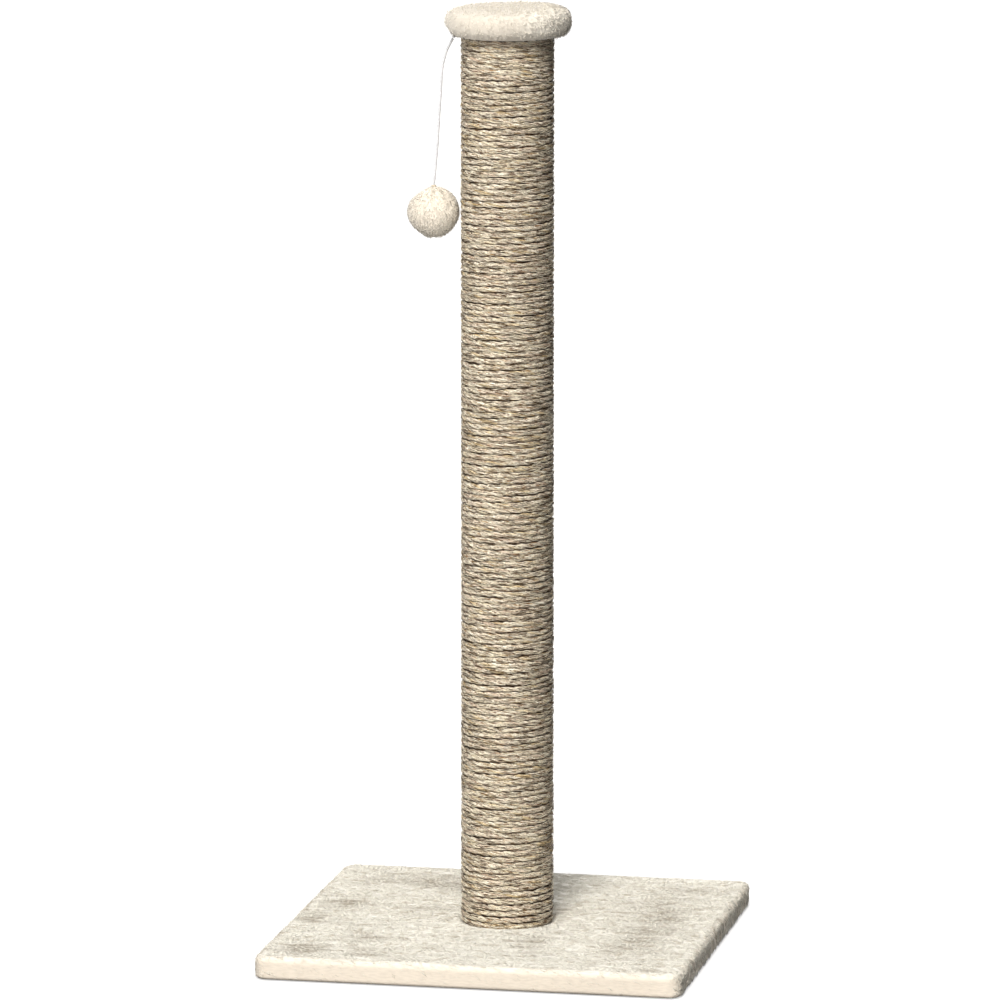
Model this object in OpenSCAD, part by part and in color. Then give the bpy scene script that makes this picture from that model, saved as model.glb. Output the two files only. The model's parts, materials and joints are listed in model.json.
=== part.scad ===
// Cat scratching post: a plush-covered base board, a cardboard post wound with
// sisal rope, a padded plush cap and a plush ball on an elastic cord.
// Millimetres. The origin is on the floor under the centre of the base, +Z is up
// and the toy hangs on the -X side.

/* [Base] */
// Width of the finished base along X
base_w = 400; // [300:5:600]
// Depth of the finished base along Y
base_d = 400; // [300:5:600]
// Thickness of the particle board
board_t = 15; // [13:1:22]
// Radius of the finished base's upright corners
base_corner_r = 12; // [8:1:30]
// Thickness of the plush over the top and the sides
base_plush_t = 4; // [3:0.5:6]
// Thickness of the plush turned under the board
hem_t = 3; // [2:0.5:3.5]
// Width of the plush turned under the board
hem_w = 30; // [20:1:60]
// Radius of the rounded long edges of the cover
plush_edge_r = 3.5; // [1:0.5:6]
// Thickness of the plush that the post squeezes flat
pressed_plush_t = 1.5; // [1:0.5:2.5]

/* [Foot pads] */
// Diameter of a foot pad
pad_d = 25; // [15:1:40]
// Thickness of a foot pad
pad_t = 4; // [4:0.5:8]
// Distance from the hem to a foot pad's rim
pad_edge_gap = 8.5; // [3:0.5:30]

/* [Post] */
// Outer diameter of the cardboard tube
tube_d = 75; // [60:1:100]
// Wall of the cardboard tube
tube_wall = 4; // [2.5:0.5:6]
// Length of the cardboard tube
tube_len = 838.2; // [500:0.1:1000]
// Thickness of the wooden plug in each end of the tube
plug_t = 18; // [15:1:25]

/* [Rope] */
// Diameter of the sisal rope as wound
rope_d = 5.8; // [5:0.1:7]
// Distance from one turn of rope to the next
rope_pitch = 5.62; // [4.8:0.01:6.8]
// Thickness of the glue between the rope and the tube
glue_t = 0.15; // [0.1:0.05:0.3]

/* [Cap] */
// Height of the cap
cap_h = 28; // [26:0.5:40]
// Thickness of the cap's plush cover
cap_plush_t = 3; // [3:0.5:4]
// How far the board inside the cap reaches past the rope
cap_board_overhang = 2; // [1:0.5:10]
// Thickness of the board inside the cap
cap_board_t = 9; // [9:0.5:12]
// Width of the plush turned under the cap's board
cap_hem_w = 15.5; // [14:0.5:18]

/* [Toy] */
// Diameter of the elastic cord
cord_d = 2.4; // [1.6:0.1:2.5]
// Height from the knot at the cap to the top of the ball
cord_drop = 140; // [80:1:250]
// Diameter of the knot under the cap's rim
rim_knot_d = 3.6; // [2.8:0.1:5]
// Outer diameter of the plush ball
ball_d = 48.6; // [35:0.2:60]
// Thickness of the ball's plush cover
ball_plush_t = 3; // [2:0.5:4]
// Diameter of the knot inside the ball
ball_knot_d = 5; // [4:0.5:7]
// Diameter of the thread that gathers the ball's cover
gather_thread_d = 0.8; // [0.4:0.1:1]
// Space between the hanging ball and the rope
ball_gap = 2.15; // [1:0.05:6]

/* [Fasteners] */
// Outer diameter of the thread of the bolt and the stud
thread_d = 8; // [6:1:8]
// Length of the base bolt under its head
bolt_len = 35; // [35:1:50]
// Diameter of the base bolt's flat head
bolt_head_d = 16; // [14:1:20]
// Height of the base bolt's flat head
bolt_head_h = 4; // [3:0.5:5]
// Width across flats of the hexagon key socket
key_af = 5; // [4:1:6]
// Depth of the hexagon key socket
key_depth = 2.8; // [2:0.1:3]
// Outer diameter of the washer
washer_d = 24; // [20:1:30]
// Thickness of the washer
washer_t = 2; // [1.5:0.5:2.5]
// Length of the stud that holds the cap
stud_len = 33; // [30:1:34]
// Diameter of a tee nut's flange
tee_flange_d = 22; // [18:1:26]
// Thickness of a tee nut's flange
tee_flange_t = 1.2; // [1:0.1:1.6]
// Outer diameter of a tee nut's barrel
tee_barrel_d = 10; // [9.4:0.1:11]
// Length of the tee nuts' barrels in the plugs
plug_barrel_len = 9.5; // [8:0.5:12]
// Length of the tee nut's barrel in the cap board
cap_barrel_len = 6; // [5:0.5:7]
// Length of a tee nut's prongs
prong_len = 5; // [3:0.5:6]

/* [Staples] */
// Width of a staple's wire
staple_w = 1.2; // [0.8:0.1:1.4]
// Thickness of a staple's wire
staple_t = 0.6; // [0.4:0.1:0.7]
// Width of a staple's crown
staple_crown = 10; // [8:0.5:12]
// Length of a staple's legs
staple_leg = 8; // [6:0.5:10]
// Width of the narrow staple that holds the cord
cord_staple_crown = 6; // [5:0.5:8]
// Distance between the staples along the hem of the base
base_staple_step = 70; // [40:1:90]
// Number of staples under the cap
cap_staple_count = 8; // [6:1:12]
// Number of staples through the tube into each plug
plug_staple_count = 4; // [3:1:6]

/* [Clearances] */
// Gap between pieces that fit inside each other
fit_gap = 0.1; // [0.05:0.05:0.2]
// Gap between the bolt or the stud and the tee nuts' thread
thread_gap = 0.05; // [0.03:0.01:0.1]
// Gap around a bolt in a drilled hole
drill_gap = 0.5; // [0.3:0.1:1]
// Gap between pieces that move against each other
move_gap = 0.3; // [0.2:0.05:0.5]

/* [Hidden] */
$fn = 96;
bite = 1; // how far a cutting shape runs past the surface it cuts

// Base
board_bottom = pad_t;
board_top = board_bottom + board_t;
hem_bottom = board_bottom - hem_t;
cover_top = board_top + base_plush_t;
cover_h = cover_top - hem_bottom;
board_w = base_w - 2 * base_plush_t;
board_d = base_d - 2 * base_plush_t;
board_corner_r = base_corner_r - base_plush_t;
bolt_hole_d = thread_d + 2 * drill_gap;
pad_inset = hem_w + pad_edge_gap + pad_d / 2;
counterbore_d = washer_d + 2 * drill_gap;
counterbore_depth = washer_t + bolt_head_h + 2 * drill_gap;
washer_top = board_bottom + counterbore_depth;
head_top = washer_top - washer_t;

// Post
post_bottom = board_top + pressed_plush_t;
post_top = post_bottom + tube_len;
tube_r = tube_d / 2;
flush_crown_r = sqrt(tube_r * tube_r - staple_crown * staple_crown / 4);
plug_r = tube_r - tube_wall - fit_gap;
rope_axis_r = tube_r + fit_gap + glue_t + rope_d / 2;
rope_r = rope_axis_r + rope_d / 2;
rope_len = tube_len - 2 * fit_gap;
rope_turns = floor((rope_len - rope_d) / rope_pitch) + 1;
// the turns are spread so that the first and the last meet the base and the cap
rope_step = (rope_len - rope_d) / (rope_turns - 1);
first_turn_z = post_bottom + fit_gap + rope_d / 2;
last_turn_z = first_turn_z + (rope_turns - 1) * rope_step;

// Cap
cap_board_r = rope_r + cap_board_overhang;
cap_edge_inset = 1; // how far inside the board's edge the cap's round side begins
cap_side_r = cap_h / 2;
cap_flat_r = cap_board_r - cap_edge_inset;
cap_r = cap_flat_r + cap_side_r;
cap_hem_hole_r = cap_board_r - cap_hem_w;
cap_mid_z = post_top + cap_side_r;
cap_board_bottom = post_top + cap_plush_t + fit_gap;
cap_board_top = cap_board_bottom + cap_board_t;
stud_top = cap_board_top - tee_flange_t;

// Toy
rim_knot_r = rim_knot_d / 2;
rim_angle = 22; // where the knot sits under the cap's round side, from straight down
rim_reach = cap_side_r + rim_knot_r + move_gap;
pivot = [-(cap_flat_r + rim_reach * sin(rim_angle)), 0, cap_mid_z - rim_reach * cos(rim_angle)];
ball_r = ball_d / 2;
ball_top = [-(rope_r + ball_gap + ball_r), 0, pivot[2] - cord_drop];
ball_centre = ball_top - [0, 0, ball_r];
thread_ring_r = cord_d / 2 + gather_thread_d;
neck_top = ball_top[2] + gather_thread_d + fit_gap;
// Route of the free cord: each point is the share of the way from the rim knot to
// the top of the ball's neck, sideways and then down
cord_route_shares = [
    [0.055, 0.014], [0.12, 0.03], [0.20, 0.05], [0.34, 0.09], [0.48, 0.15], [0.56, 0.20],
    [0.61, 0.27], [0.66, 0.39], [0.72, 0.50], [0.78, 0.64], [0.84, 0.76], [0.93, 0.90],
    [1, 1]
];
cord_end = [ball_top[0], 0, neck_top + fit_gap];
cord_route = [for (s = cord_route_shares) [
    pivot[0] + s[0] * (cord_end[0] - pivot[0]), 0, pivot[2] + s[1] * (cord_end[2] - pivot[2])
]];
// Route of the held end of the cord, from its staple out to the rim knot
held_cord_z = cap_board_bottom; // the cord lies half its thickness deep in the board
cord_staple_x = -(cap_hem_hole_r - 6); // just inside the hem
held_cord_start_x = cord_staple_x + 6;
held_reach = rim_knot_r + move_gap / 2;
held_cord_angle = 24; // rise of the held end where it meets the knot
held_cord_end = pivot + held_reach * [cos(held_cord_angle), 0, sin(held_cord_angle)];
held_cord_route = [
    [held_cord_start_x, 0, held_cord_z], [cord_staple_x, 0, held_cord_z],
    [pivot[0] + 14, 0, held_cord_z], [pivot[0] + 7, 0, held_cord_z - 1], held_cord_end
];
cord_sides = 8;
ring_step = 2.5 * cord_d;

// ---- Shared shapes ----

// A rectangle with round corners
module rounded_plate(w, d, r) {
    square([w - 2 * r, d], center = true);
    square([w, d - 2 * r], center = true);
    for (x = [-1, 1], y = [-1, 1])
        translate([x * (w / 2 - r), y * (d / 2 - r)])
            circle(r);
}

// A slab whose upright corners and whose upper and lower edges are rounded
module soft_slab(w, d, h, corner_r, edge_r) {
    intersection() {
        translate([0, 0, -bite])
            linear_extrude(h + 2 * bite)
                rounded_plate(w, d, corner_r);
        translate([0, d / 2 + bite, h / 2])
            rotate([90, 0, 0])
                linear_extrude(d + 2 * bite)
                    rounded_plate(w, h, edge_r);
        translate([-w / 2 - bite, 0, h / 2])
            rotate([90, 0, 90])
                linear_extrude(w + 2 * bite)
                    rounded_plate(d, h, edge_r);
    }
}

// A disc with a fully round side
module bun(flat_r, side_r) {
    rotate_extrude() {
        translate([0, -side_r])
            square([flat_r, 2 * side_r]);
        difference() {
            translate([flat_r, 0])
                circle(side_r);
            translate([flat_r - 2 * side_r, -2 * side_r])
                square([2 * side_r, 4 * side_r]);
        }
    }
}

// A staple: its crown's back lies on the plane z = 0 and its legs point up
module staple(crown, leg) {
    translate([-crown / 2, -staple_w / 2, 0])
        cube([crown, staple_w, staple_t]);
    for (x = [-crown / 2, crown / 2 - staple_t])
        translate([x, -staple_w / 2, 0])
            cube([staple_t, staple_w, leg]);
}

// A tee nut: its flange's outer face lies on z = 0 and its barrel points up
module tee_nut(barrel_len) {
    difference() {
        union() {
            cylinder(h = tee_flange_t, d = tee_flange_d);
            cylinder(h = tee_flange_t + barrel_len, d = tee_barrel_d);
            for (a = [45:90:315])
                rotate(a)
                    translate([tee_flange_d / 2 - 2.4, -1, 0])
                        cube([1.2, 2, tee_flange_t + prong_len]);
        }
        translate([0, 0, -bite])
            cylinder(h = tee_flange_t + barrel_len + 2 * bite, d = thread_d + 2 * thread_gap);
    }
}

// A wooden plug with a hole for its tee nut, from z = 0 up
module plug() {
    difference() {
        cylinder(h = plug_t, r = plug_r);
        translate([0, 0, -bite])
            cylinder(h = plug_t + 2 * bite, d = tee_barrel_d + 2 * fit_gap);
    }
}

// Staples driven inwards round the post, with the crowns' backs at one radius
module radial_staples(z, back_r, count, start_angle, leg) {
    for (i = [0:count - 1])
        rotate(start_angle + i * 360 / count)
            translate([back_r, 0, z])
                rotate([90, 0, -90])
                    staple(staple_crown, leg);
}

// ---- Cord sweep ----

function catmull(a, b, c, d, t) =
    0.5 * (2 * b + (c - a) * t + (2 * a - 5 * b + 4 * c - d) * t * t + (3 * b - a - 3 * c + d) * t * t * t);

// Evenly spread points on a smooth curve through every point of the route
function smooth_route(p) = let (n = len(p)) [
    for (i = [0:n - 2])
        let (
            before = i > 0 ? p[i - 1] : 2 * p[0] - p[1],
            after = i < n - 2 ? p[i + 2] : 2 * p[n - 1] - p[n - 2],
            rings = max(1, ceil(norm(p[i + 1] - p[i]) / ring_step))
        )
        for (k = [0:rings - 1]) catmull(before, p[i], p[i + 1], after, k / rings),
    p[n - 1]
];

function unit(v) = v / norm(v);

// A round cord along a route that stays in one upright plane
module cord_tube(route, d) {
    path = smooth_route(route);
    n = len(path);
    side = [0, 1, 0];
    rings = [for (i = [0:n - 1])
        let (
            along = unit(path[min(i + 1, n - 1)] - path[max(i - 1, 0)]),
            across = cross(side, along)
        )
        for (k = [0:cord_sides - 1])
            path[i] + d / 2 * (cos(k * 360 / cord_sides) * side + sin(k * 360 / cord_sides) * across)
    ];
    skin = [for (i = [0:n - 2], k = [0:cord_sides - 1])
        let (a = i * cord_sides + k, b = i * cord_sides + (k + 1) % cord_sides)
        each [[a, b, b + cord_sides], [a, b + cord_sides, a + cord_sides]]
    ];
    ends = [
        [for (k = [cord_sides - 1:-1:0]) k],
        [for (k = [0:cord_sides - 1]) (n - 1) * cord_sides + k]
    ];
    polyhedron(points = rings, faces = concat(skin, ends));
}

// ---- Base ----

module base_board() {
    color("#c9a77c")
        difference() {
            translate([0, 0, board_bottom])
                linear_extrude(board_t)
                    rounded_plate(board_w, board_d, board_corner_r);
            translate([0, 0, board_bottom - bite])
                cylinder(h = board_t + 2 * bite, d = bolt_hole_d);
            translate([0, 0, board_bottom - bite])
                cylinder(h = counterbore_depth + bite, d = counterbore_d);
        }
}

// The plush wraps the top and the sides and is turned under as a hem
module base_plush_cover() {
    color("#ede6d6")
        difference() {
            translate([0, 0, hem_bottom])
                soft_slab(base_w, base_d, cover_h, base_corner_r, plush_edge_r);
            translate([0, 0, board_bottom - fit_gap])
                linear_extrude(board_t + 2 * fit_gap)
                    rounded_plate(board_w + 2 * fit_gap, board_d + 2 * fit_gap, board_corner_r + fit_gap);
            translate([0, 0, hem_bottom - bite])
                linear_extrude(hem_t + 2 * bite)
                    square([board_w - 2 * hem_w, board_d - 2 * hem_w], center = true);
            translate([0, 0, post_bottom])
                cylinder(h = base_plush_t, r = rope_r + fit_gap);
            translate([0, 0, board_top - bite])
                cylinder(h = base_plush_t + 2 * bite, d = bolt_hole_d);
        }
}

// One row of staples along each side of the hem
module base_staples() {
    steps_x = floor((board_w / 2 - hem_w) / base_staple_step);
    steps_y = floor((board_d / 2 - hem_w) / base_staple_step);
    row_x = board_w / 2 - hem_w / 2;
    row_y = board_d / 2 - hem_w / 2;
    color("#b8bcc0")
        translate([0, 0, hem_bottom - staple_t / 2]) {
            for (i = [-steps_x:steps_x], side = [-1, 1])
                translate([i * base_staple_step, side * row_y, 0])
                    staple(staple_crown, staple_leg);
            for (i = [-steps_y:steps_y], side = [-1, 1])
                translate([side * row_x, i * base_staple_step, 0])
                    rotate(90)
                        staple(staple_crown, staple_leg);
        }
}

module foot_pad(side_x, side_y) {
    color("#4a4a4a")
        translate([side_x * (board_w / 2 - pad_inset), side_y * (board_d / 2 - pad_inset), 0])
            cylinder(h = pad_t, d = pad_d);
}

module foot_pad_front_left() { foot_pad(-1, -1); }
module foot_pad_front_right() { foot_pad(1, -1); }
module foot_pad_rear_left() { foot_pad(-1, 1); }
module foot_pad_rear_right() { foot_pad(1, 1); }

// The bolt stands head down in the counterbore and reaches the bottom tee nut
module base_bolt() {
    color("#a9adb2")
        difference() {
            union() {
                translate([0, 0, head_top - bolt_head_h])
                    cylinder(h = bolt_head_h, d = bolt_head_d);
                translate([0, 0, head_top - bite])
                    cylinder(h = bolt_len + bite, d = thread_d);
            }
            translate([0, 0, head_top - bolt_head_h - bite])
                cylinder(h = key_depth + bite, d = key_af / cos(30), $fn = 6);
        }
}

module base_washer() {
    color("#b8bcc0")
        translate([0, 0, head_top])
            difference() {
                cylinder(h = washer_t, d = washer_d);
                translate([0, 0, -bite])
                    cylinder(h = washer_t + 2 * bite, d = thread_d + drill_gap);
            }
}

// ---- Post ----

module post_tube() {
    color("#b08d62")
        translate([0, 0, post_bottom])
            difference() {
                cylinder(h = tube_len, r = tube_r);
                translate([0, 0, -bite])
                    cylinder(h = tube_len + 2 * bite, r = tube_r - tube_wall);
            }
}

module bottom_plug() {
    color("#d8b98a")
        translate([0, 0, post_bottom])
            plug();
}

// Its flange lies on the plug's upper face and its barrel points down
module bottom_tee_nut() {
    color("#c7ccd1")
        translate([0, 0, post_bottom + plug_t + tee_flange_t])
            mirror([0, 0, 1])
                tee_nut(plug_barrel_len);
}

// The crowns are pressed into the tube until their ends are flush with it
module bottom_plug_staples() {
    color("#b8bcc0")
        radial_staples(post_bottom + plug_t / 2, flush_crown_r, plug_staple_count, 45, staple_leg);
}

module top_plug() {
    color("#d8b98a")
        translate([0, 0, post_top - plug_t])
            plug();
}

// Its flange lies on the plug's lower face and its barrel points up
module top_tee_nut() {
    color("#c7ccd1")
        translate([0, 0, post_top - plug_t - tee_flange_t])
            tee_nut(plug_barrel_len);
}

module top_plug_staples() {
    color("#b8bcc0")
        radial_staples(post_top - plug_t / 2, flush_crown_r, plug_staple_count, 45, staple_leg);
}

// The rope wound edge to edge, each turn as one ring, on its bed of glue
module sisal_rope() {
    color("#b5a283")
        rotate_extrude() {
            translate([tube_r + fit_gap, first_turn_z])
                square([glue_t + rope_d / 2, last_turn_z - first_turn_z]);
            for (i = [0:rope_turns - 1])
                translate([rope_axis_r, first_turn_z + i * rope_step])
                    circle(d = rope_d);
        }
}

// One staple through the second and the last but one turn of rope, at the back of
// the post, down through the tube's wall
module rope_end_staples() {
    color("#b8bcc0")
        for (z = [first_turn_z + rope_step, last_turn_z - rope_step])
            radial_staples(z, rope_r + staple_t / 2, 1, 90, rope_d + tube_wall);
}

// ---- Cap ----

module cap_board() {
    color("#c9a77c")
        difference() {
            translate([0, 0, cap_board_bottom])
                cylinder(h = cap_board_t, r = cap_board_r);
            translate([0, 0, cap_board_bottom - bite])
                cylinder(h = cap_board_t + 2 * bite, d = tee_barrel_d + 2 * fit_gap);
            translate([0, 0, cap_board_top - tee_flange_t])
                cylinder(h = tee_flange_t + bite, d = tee_flange_d + 2 * fit_gap);
            translate([held_cord_start_x + bite, 0, cap_board_bottom])
                rotate([0, -90, 0])
                    cylinder(h = cap_board_r, d = cord_d + 2 * fit_gap);
        }
}

// Its flange is let into the board's upper face and its barrel points down
module cap_tee_nut() {
    color("#c7ccd1")
        translate([0, 0, cap_board_top])
            mirror([0, 0, 1])
                tee_nut(cap_barrel_len);
}

module cap_stud() {
    color("#a9adb2")
        translate([0, 0, stud_top - stud_len])
            cylinder(h = stud_len, d = thread_d);
}

// The foam lies on the board and laps over its edge
module cap_foam() {
    color("#f3e3b5")
        difference() {
            translate([0, 0, cap_mid_z])
                bun(cap_flat_r, cap_side_r - cap_plush_t - fit_gap);
            translate([0, 0, cap_board_bottom - cap_h])
                cylinder(h = cap_h + cap_board_t + fit_gap / 2, r = cap_board_r + fit_gap);
            translate([0, 0, post_top])
                cylinder(h = cap_board_bottom - post_top, r = cap_r);
        }
}

// The cover wraps the foam and its hem lies between the board and the post
module cap_plush_cover() {
    slot_w = cord_d + 4 * fit_gap;
    color("#f2e9da")
        difference() {
            translate([0, 0, cap_mid_z])
                bun(cap_flat_r, cap_side_r);
            translate([0, 0, cap_mid_z])
                bun(cap_flat_r, cap_side_r - cap_plush_t);
            translate([0, 0, post_top - bite])
                cylinder(h = cap_plush_t + 2 * bite, r = cap_hem_hole_r);
            translate([-cap_r, -slot_w / 2, post_top - bite])
                cube([cap_r - cap_hem_hole_r + bite, slot_w, cap_plush_t + bite]);
        }
}

// A ring of staples through the hem into the cap board
module cap_staples() {
    ring_r = (cap_hem_hole_r + cap_flat_r) / 2;
    color("#b8bcc0")
        for (i = [0:cap_staple_count - 1])
            rotate((i + 0.5) * 360 / cap_staple_count)
                translate([ring_r, 0, post_top + fit_gap])
                    rotate(90)
                        staple(staple_crown, staple_leg);
}

// ---- Toy ----

module cord_staple() {
    color("#b8bcc0")
        translate([cord_staple_x, 0, held_cord_z - cord_d / 2 - staple_t])
            rotate(90)
                staple(cord_staple_crown, staple_leg);
}

module held_cord_end() {
    color("#f4f4f2")
        cord_tube(held_cord_route, cord_d);
}

module rim_knot() {
    color("#f4f4f2")
        translate(pivot)
            sphere(rim_knot_r);
}

module elastic_cord() {
    color("#f4f4f2")
        cord_tube(cord_route, cord_d);
}

module ball_plush_cover() {
    color("#f2e9da")
        difference() {
            translate(ball_centre)
                sphere(ball_r);
            translate(ball_centre)
                sphere(ball_r - ball_plush_t);
            translate(ball_centre)
                cylinder(h = ball_d, d = cord_d + 2 * fit_gap);
        }
}

module ball_stuffing() {
    color("#ffffff")
        difference() {
            translate(ball_centre)
                sphere(ball_r - ball_plush_t - fit_gap);
            translate(ball_centre + [0, 0, ball_r - ball_plush_t - ball_knot_d])
                sphere(ball_knot_d / 2 + fit_gap);
            translate(ball_centre + [0, 0, ball_r - ball_plush_t - ball_knot_d])
                cylinder(h = ball_d, d = cord_d + 2 * fit_gap);
        }
}

// The cord's lower end: a neck through the cover and a knot in the stuffing
module ball_knot() {
    knot_z = ball_centre[2] + ball_r - ball_plush_t - ball_knot_d;
    color("#f4f4f2") {
        translate([ball_centre[0], 0, knot_z])
            sphere(ball_knot_d / 2);
        translate([ball_centre[0], 0, knot_z])
            cylinder(h = neck_top - knot_z, d = cord_d);
    }
}

module ball_gather_thread() {
    color("#e8dfce")
        translate([ball_top[0], 0, ball_top[2] + gather_thread_d / 2])
            rotate_extrude()
                translate([thread_ring_r, 0])
                    circle(d = gather_thread_d);
}

base_board();
base_plush_cover();
base_staples();
foot_pad_front_left();
foot_pad_front_right();
foot_pad_rear_left();
foot_pad_rear_right();
base_bolt();
base_washer();
post_tube();
bottom_plug();
bottom_tee_nut();
bottom_plug_staples();
top_plug();
top_tee_nut();
top_plug_staples();
sisal_rope();
rope_end_staples();
cap_board();
cap_tee_nut();
cap_stud();
cap_foam();
cap_plush_cover();
cap_staples();
cord_staple();
held_cord_end();
rim_knot();
elastic_cord();
ball_plush_cover();
ball_stuffing();
ball_knot();
ball_gather_thread();
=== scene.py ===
import json
import math

import bmesh
import bpy
import numpy as np
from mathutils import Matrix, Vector

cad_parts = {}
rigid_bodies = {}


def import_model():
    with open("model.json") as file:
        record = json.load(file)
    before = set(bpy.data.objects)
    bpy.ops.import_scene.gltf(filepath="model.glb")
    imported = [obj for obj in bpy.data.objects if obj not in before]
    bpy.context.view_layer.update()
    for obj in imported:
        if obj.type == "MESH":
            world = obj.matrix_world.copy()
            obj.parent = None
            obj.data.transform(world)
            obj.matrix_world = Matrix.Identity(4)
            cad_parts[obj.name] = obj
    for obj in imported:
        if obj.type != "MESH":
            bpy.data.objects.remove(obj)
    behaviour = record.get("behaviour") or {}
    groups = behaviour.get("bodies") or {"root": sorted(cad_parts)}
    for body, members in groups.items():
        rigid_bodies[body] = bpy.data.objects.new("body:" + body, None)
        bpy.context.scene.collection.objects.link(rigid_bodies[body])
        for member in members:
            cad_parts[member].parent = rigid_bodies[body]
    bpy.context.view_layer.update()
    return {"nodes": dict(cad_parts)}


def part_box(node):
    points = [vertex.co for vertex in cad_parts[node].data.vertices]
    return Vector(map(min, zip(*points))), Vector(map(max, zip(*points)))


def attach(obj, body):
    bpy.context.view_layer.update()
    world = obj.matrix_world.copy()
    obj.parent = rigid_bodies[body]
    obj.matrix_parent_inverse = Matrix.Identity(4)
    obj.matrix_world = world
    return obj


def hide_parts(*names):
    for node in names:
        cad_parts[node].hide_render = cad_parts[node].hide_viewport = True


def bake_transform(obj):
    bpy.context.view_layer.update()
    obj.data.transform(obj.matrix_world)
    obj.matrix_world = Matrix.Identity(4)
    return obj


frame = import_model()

MM = 0.001
scene = bpy.context.scene

# The kinds of node that the materials and trees use most
MATH = "ShaderNodeMath"
VECTOR_MATH = "ShaderNodeVectorMath"
COMBINE = "ShaderNodeCombineXYZ"
RANGE = "ShaderNodeMapRange"
MIX = "ShaderNodeMix"
NOISE = "ShaderNodeTexNoise"
COORDINATES = "ShaderNodeTexCoord"
ATTRIBUTE = "ShaderNodeAttribute"
READ = "GeometryNodeInputNamedAttribute"
STORE = "GeometryNodeStoreNamedAttribute"
PATH = "GeometryNodeMeshToCurve"
RING = "GeometryNodeCurvePrimitiveCircle"
SWEEP = "GeometryNodeCurveToMesh"
MOVE = "GeometryNodeSetPosition"
RANDOM = "FunctionNodeRandomValue"


# ---- Sizes in metres: some read from the frame's boxes, the others written out ----

def corners(node):
    """A CAD node's lowest and highest corners, to a thousandth of a millimetre."""
    return [[round(part, 6) for part in corner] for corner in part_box(node)]


(_, _, base_bottom), (base_half, _, base_top) = corners("base_plush_cover")
(_, _, board_bottom), (board_half, _, board_top) = corners("base_board")
(_, _, post_foot), (_, _, post_top) = corners("post_tube")
rope_outer_r = corners("sisal_rope")[1][0]
cap_board_r = corners("cap_board")[1][0]
cap_top = corners("cap_plush_cover")[1][2]

base_corner_r = 12 * MM
base_edge_r = 3.5 * MM
base_top_edge_r = 6 * MM
board_inset = base_half - board_half
hem_inset = 34 * MM
bolt_hole_r = 5 * MM

rope_d = 5.8 * MM
rope_turns = 149
rope_end_gap = 0.1 * MM
rope_axis_r = rope_outer_r - rope_d / 2
rope_first_z = post_foot + rope_end_gap + rope_d / 2
rope_step = round((post_top - post_foot - 2 * rope_end_gap - rope_d) / (rope_turns - 1), 6)
strand_count = 3
strand_lay = 34 * MM  # one full twist of the three strands
strand_offset = 0.90 * MM
strand_r = 2.05 * MM
rope_flattening = 1.40  # wound under tension, the rope is taller than it is deep

cap_side_r = (cap_top - post_top) / 2
cap_mid_z = post_top + cap_side_r
cap_flat_r = cap_board_r - 1 * MM  # where the flat top and underside end

cord_d = 2.4 * MM
knot_centre = Vector((-50.581, 0, 857.772)) * MM
cord_end = Vector((-70.0, 0, 718.77)) * MM
ball_centre = Vector((-70.0, 0, 693.47)) * MM
ball_r = 24.3 * MM


# ---- Helpers: nodes, materials and trees ----

def linear(hex_code):
    """An sRGB hex colour as linear red, green, blue and alpha."""
    channels = [int(hex_code[i:i + 2], 16) / 255 for i in (1, 3, 5)]
    return tuple(c / 12.92 if c <= 0.04045 else ((c + 0.055) / 1.055) ** 2.4 for c in channels) + (1.0,)


def put(tree, kind, inputs=(), operation=None, **settings):
    """Adds a node. inputs lists its first inputs or maps their names or numbers. Each is a value, a socket,
    or a node, whose first output counts."""
    node = tree.nodes.new(kind)
    if operation:
        node.operation = operation
    for name, value in settings.items():
        setattr(node, name, value)
    for key, value in inputs.items() if isinstance(inputs, dict) else enumerate(inputs):
        if isinstance(value, bpy.types.Node):
            value = value.outputs[0]
        if isinstance(value, bpy.types.NodeSocket):
            tree.links.new(value, node.inputs[key])
        else:
            node.inputs[key].default_value = value
    return node


def start_material(name, **constants):
    """A new material with one Principled shader whose constants sit on its own sockets."""
    made = bpy.data.materials.new(name)
    made.use_nodes = True
    made.node_tree.nodes.clear()
    named = {key.replace("_", " "): value for key, value in constants.items()}
    shader = put(made.node_tree, "ShaderNodeBsdfPrincipled", named)
    put(made.node_tree, "ShaderNodeOutputMaterial", {"Surface": shader})
    return made, made.node_tree, shader


def tint(tree, under, tone, pattern, start, full, most=1.0):
    """Lays a tone over a colour, from nothing where the pattern is at start to most where it is at full."""
    share = put(tree, RANGE, {"Value": pattern, 1: start, 2: full, 4: most}, clamp=True)
    return put(tree, MIX, {0: share, 6: under, 7: linear(tone)}, data_type="RGBA").outputs[2]


def dress_shader(tree, shader, colour, height, strength, relief_mm):
    """Links a shader's colour, and a bump as deep as the relief where the height is one."""
    tree.links.new(colour, shader.inputs["Base Color"])
    bump = put(tree, "ShaderNodeBump", {"Height": height, "Strength": strength, "Distance": relief_mm * MM})
    tree.links.new(bump.outputs[0], shader.inputs["Normal"])


def two_tone_material(name, low, high, grain_mm, bump, detail=2.0, distortion=0.0, stretch=(1, 1, 1),
                      **constants):
    """A material whose fine grain runs between two tones. bump is its relief's strength and depth in mm."""
    made, tree, shader = start_material(name, **constants)
    place = put(tree, VECTOR_MATH, [put(tree, COORDINATES).outputs["Object"], stretch], "MULTIPLY")
    grain = put(tree, NOISE, {"Vector": place, "Scale": 1 / (grain_mm * MM), "Detail": detail,
                              "Distortion": distortion})
    colour = put(tree, MIX, {0: grain, 6: linear(low), 7: linear(high)}, data_type="RGBA")
    dress_shader(tree, shader, colour.outputs[2], grain, *bump)
    return made


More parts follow.
